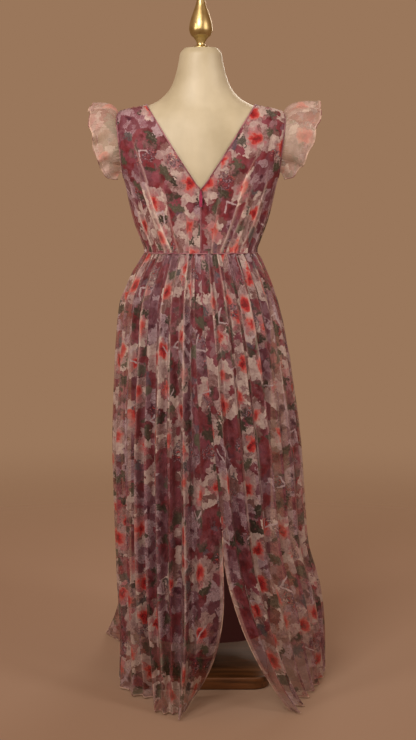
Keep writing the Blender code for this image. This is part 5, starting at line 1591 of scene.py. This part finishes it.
# Sections in millimetres, across and out
BINDING = ((-0.35, -0.9), (-0.55, -0.1), (-0.45, 0.55), (0.4, 0.85), (2.4, 0.80), (3.0, 0.45),
           (3.2, -0.2), (2.0, -0.9))
CORD = tuple((0.95 * math.cos(a), 0.95 * math.sin(a)) for a in np.arange(8) * math.tau / 8)
LIP = tuple((0.75 * math.cos(a), 0.9 * math.sin(a)) for a in np.arange(8) * math.tau / 8)
PIPING = tuple((1.5 * math.cos(a), 0.95 * math.sin(a)) for a in np.arange(10) * math.tau / 10)
THREAD_RADIUS = 0.00035
FINE_STITCH, HEM_STITCH = (0.0034, 0.0024), (0.0036, 0.0026)  # spacing and length
print("sections:", len(BINDING), "points for a binding,", len(PIPING), "for piping")

# %% Neckline, armholes, waist and back seam


def edge_frame(points, edge, inner):
    """Path, direction into the panel and direction out of the cloth, at one side edge of a grid."""
    path = points[:, edge]
    inward = unit(points[:, inner] - path)
    ahead = unit(np.gradient(path, axis=0))
    outward = np.cross(ahead, inward)
    away = path * (1, 1, 0)
    return path, inward, outward * np.sign((outward * away).sum(axis=1, keepdims=True))


above_v, above_seam = heights > CENTRE_SEAM_SHARE - 0.004, heights > SIDE_SEAM_SHARE
back_grid = {side: edges_in(bodice_half("back", u, v, table)[0]) * (1 if side == "right" else -1, 1, 1)
             for side, table in (("right", BACK_RIGHT_CREASES), ("left", BACK_LEFT_CREASES))}
front_grid = {"right": front["mesh"], "left": front["mesh"] * (-1, 1, 1)}
for side in ("left", "right"):
    back, fore = back_grid[side], front_grid[side]
    for name, grid, rows, edge, inner, across, lift in (
            ("neckline_back_", back, above_v, 0, 4, 0.0024, 0.0008),
            ("neckline_front_", fore, above_v, -1, -5, 0.0024, 0.0008),
            ("armhole_back_", back, above_seam, -1, -5, 0.0042, 0.0004),
            ("armhole_front_", fore, above_seam, 0, 4, 0.0042, 0.0004)):
        path, inward, outward = edge_frame(grid[rows], edge, inner)
        carried(name + side, path, inward, outward, BINDING, binding)
        stitches(name + side + "_stitches", path + inward * across, outward, *FINE_STITCH, lift)
    path, inward, outward = edge_frame(back_grid[side][~above_v], 0, 4)
    carried("back_seam_lip_" + side, path + inward * 0.0006 + outward * 0.0002, inward, outward, LIP, binding)
print("edges of neckline and armholes are bound")

# %% Waist seam
ring = np.concatenate([back_grid["right"][0], front_grid["right"][0, 1:], front_grid["left"][0, ::-1][1:],
                       back_grid["left"][0, ::-1][1:-1]])
ring[:, 2] = WAIST_Z
radial = unit(ring * (1, 1, 0))
wrapped = np.concatenate([ring[-12:], ring, ring[:12]])
smooth = np.stack([np.convolve(column, np.ones(25) / 25, "valid") for column in wrapped.T], -1)
upward = np.zeros_like(ring) + (0.0, 0.0, 1.0)
carried("waist_seam_piping", smooth + radial * 0.0009, upward, radial, PIPING, binding, closed=True)
for name, lift, height in (("waist_stitches_upper", 0.0012, 0.0028),
                           ("waist_stitches_lower", 0.0016, -0.0030)):
    stitches(name, smooth + radial * 0.0008 + upward * height, radial, *HEM_STITCH, lift)
print("waist seam", round(float(np.linalg.norm(np.diff(smooth, axis=0), axis=1).sum()), 3), "m round")

# %% Rolled hem and slit edges
for name, points in skirt_points.items():
    path = points[0]
    carried("rolled_hem_" + name, path + (0, 0, 0.0006), np.zeros_like(path) + (0.0, 0.0, 1.0),
            unit(path * (1, 1, 0)), CORD, rolled)
for name, edge, inner in (("skirt_back_left", -1, -3), ("skirt_back_right", 0, 2)):
    low = skirt_points[name][:, 0, 2] < SLIT_TOP_Z + 0.01
    path, inward, outward = edge_frame(skirt_points[name][low], edge, inner)
    carried("rolled_slit_" + name, path, inward, outward, CORD, rolled)
    stitches("slit_stitches_" + name, path + inward * 0.0095, outward, *HEM_STITCH, 0.0004)
for side, grid in sleeve_grids.items():
    path = grid[-1]
    ahead = unit(np.gradient(path, axis=0))
    inward = unit(grid[-3] - path)
    carried("rolled_edge_sleeve_" + side, path, inward, np.cross(ahead, inward), CORD, rolled)
print("rolled edges:", len(skirt_points) + 4)

# %% [markdown]
# ## The zip
# It is a concealed zip, so only the slider with its long pull shows at the point of the V, and
# a dark line where the seam's two lips meet. The tape behind is woven, the slider is cast zinc
# under wine lacquer, and the pull is dipped in a brighter lacquer.

# %% Zip finishes


def woven_tape():
    """Woven polyester tape in wine: ribs across, drawn at 2 mm, darker between them: painted shade."""
    made, tree, shader = new_material("woven_zip_tape_wine")
    place = add_node(tree, "ShaderNodeTexCoord").outputs["Object"]
    ribs = add_node(tree, "ShaderNodeTexWave", {"Vector": place, "Scale": 160.0}, bands_direction="Z")
    # Darker where the ribs' bump is low: painted shade between the ribs
    colour = ink_ramp(tree, ribs.outputs["Fac"], ((0.2, "#3A1018"), (0.8, "#571A26")))
    tree.links.new(colour, shader.inputs["Base Color"])
    bump = add_node(tree, "ShaderNodeBump", {"Height": ribs.outputs["Fac"], "Strength": 0.4,
                                             "Distance": 0.0003})
    tree.links.new(bump.outputs[0], shader.inputs["Normal"])
    shader.inputs["Roughness"].default_value = 0.7
    return made


def lacquer(name, hex_deep, hex_clear):
    """Lacquered zinc casting: thin gloss coat, a little deeper where it pooled, worn dull by fingers."""
    made, tree, shader = new_material(name)
    place = add_node(tree, "ShaderNodeTexCoord").outputs["Object"]
    pooled = add_node(tree, "ShaderNodeTexNoise", {"Vector": place, "Scale": 260.0, "Detail": 3.0})
    colour = ink_ramp(tree, pooled.outputs["Fac"], ((0.35, hex_deep), (0.65, hex_clear)))
    tree.links.new(colour, shader.inputs["Base Color"])
    worn = add_node(tree, "ShaderNodeMapRange", {"Value": pooled.outputs["Fac"], "To Min": 0.22,
                                                 "To Max": 0.45})
    tree.links.new(worn.outputs[0], shader.inputs["Roughness"])
    shader.inputs["Coat Weight"].default_value = 0.4
    return made


for node, finish in (("zip_tape", woven_tape()),
                     ("zip_slider", lacquer("lacquered_zinc_wine", "#4A121E", "#6E2030")),
                     ("zip_pull_tab", lacquer("lacquered_zinc_magenta", "#7A1F42", "#9C2C54"))):
    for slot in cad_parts[node].material_slots:
        slot.material = finish
    print(node, "is finished with", finish.name)
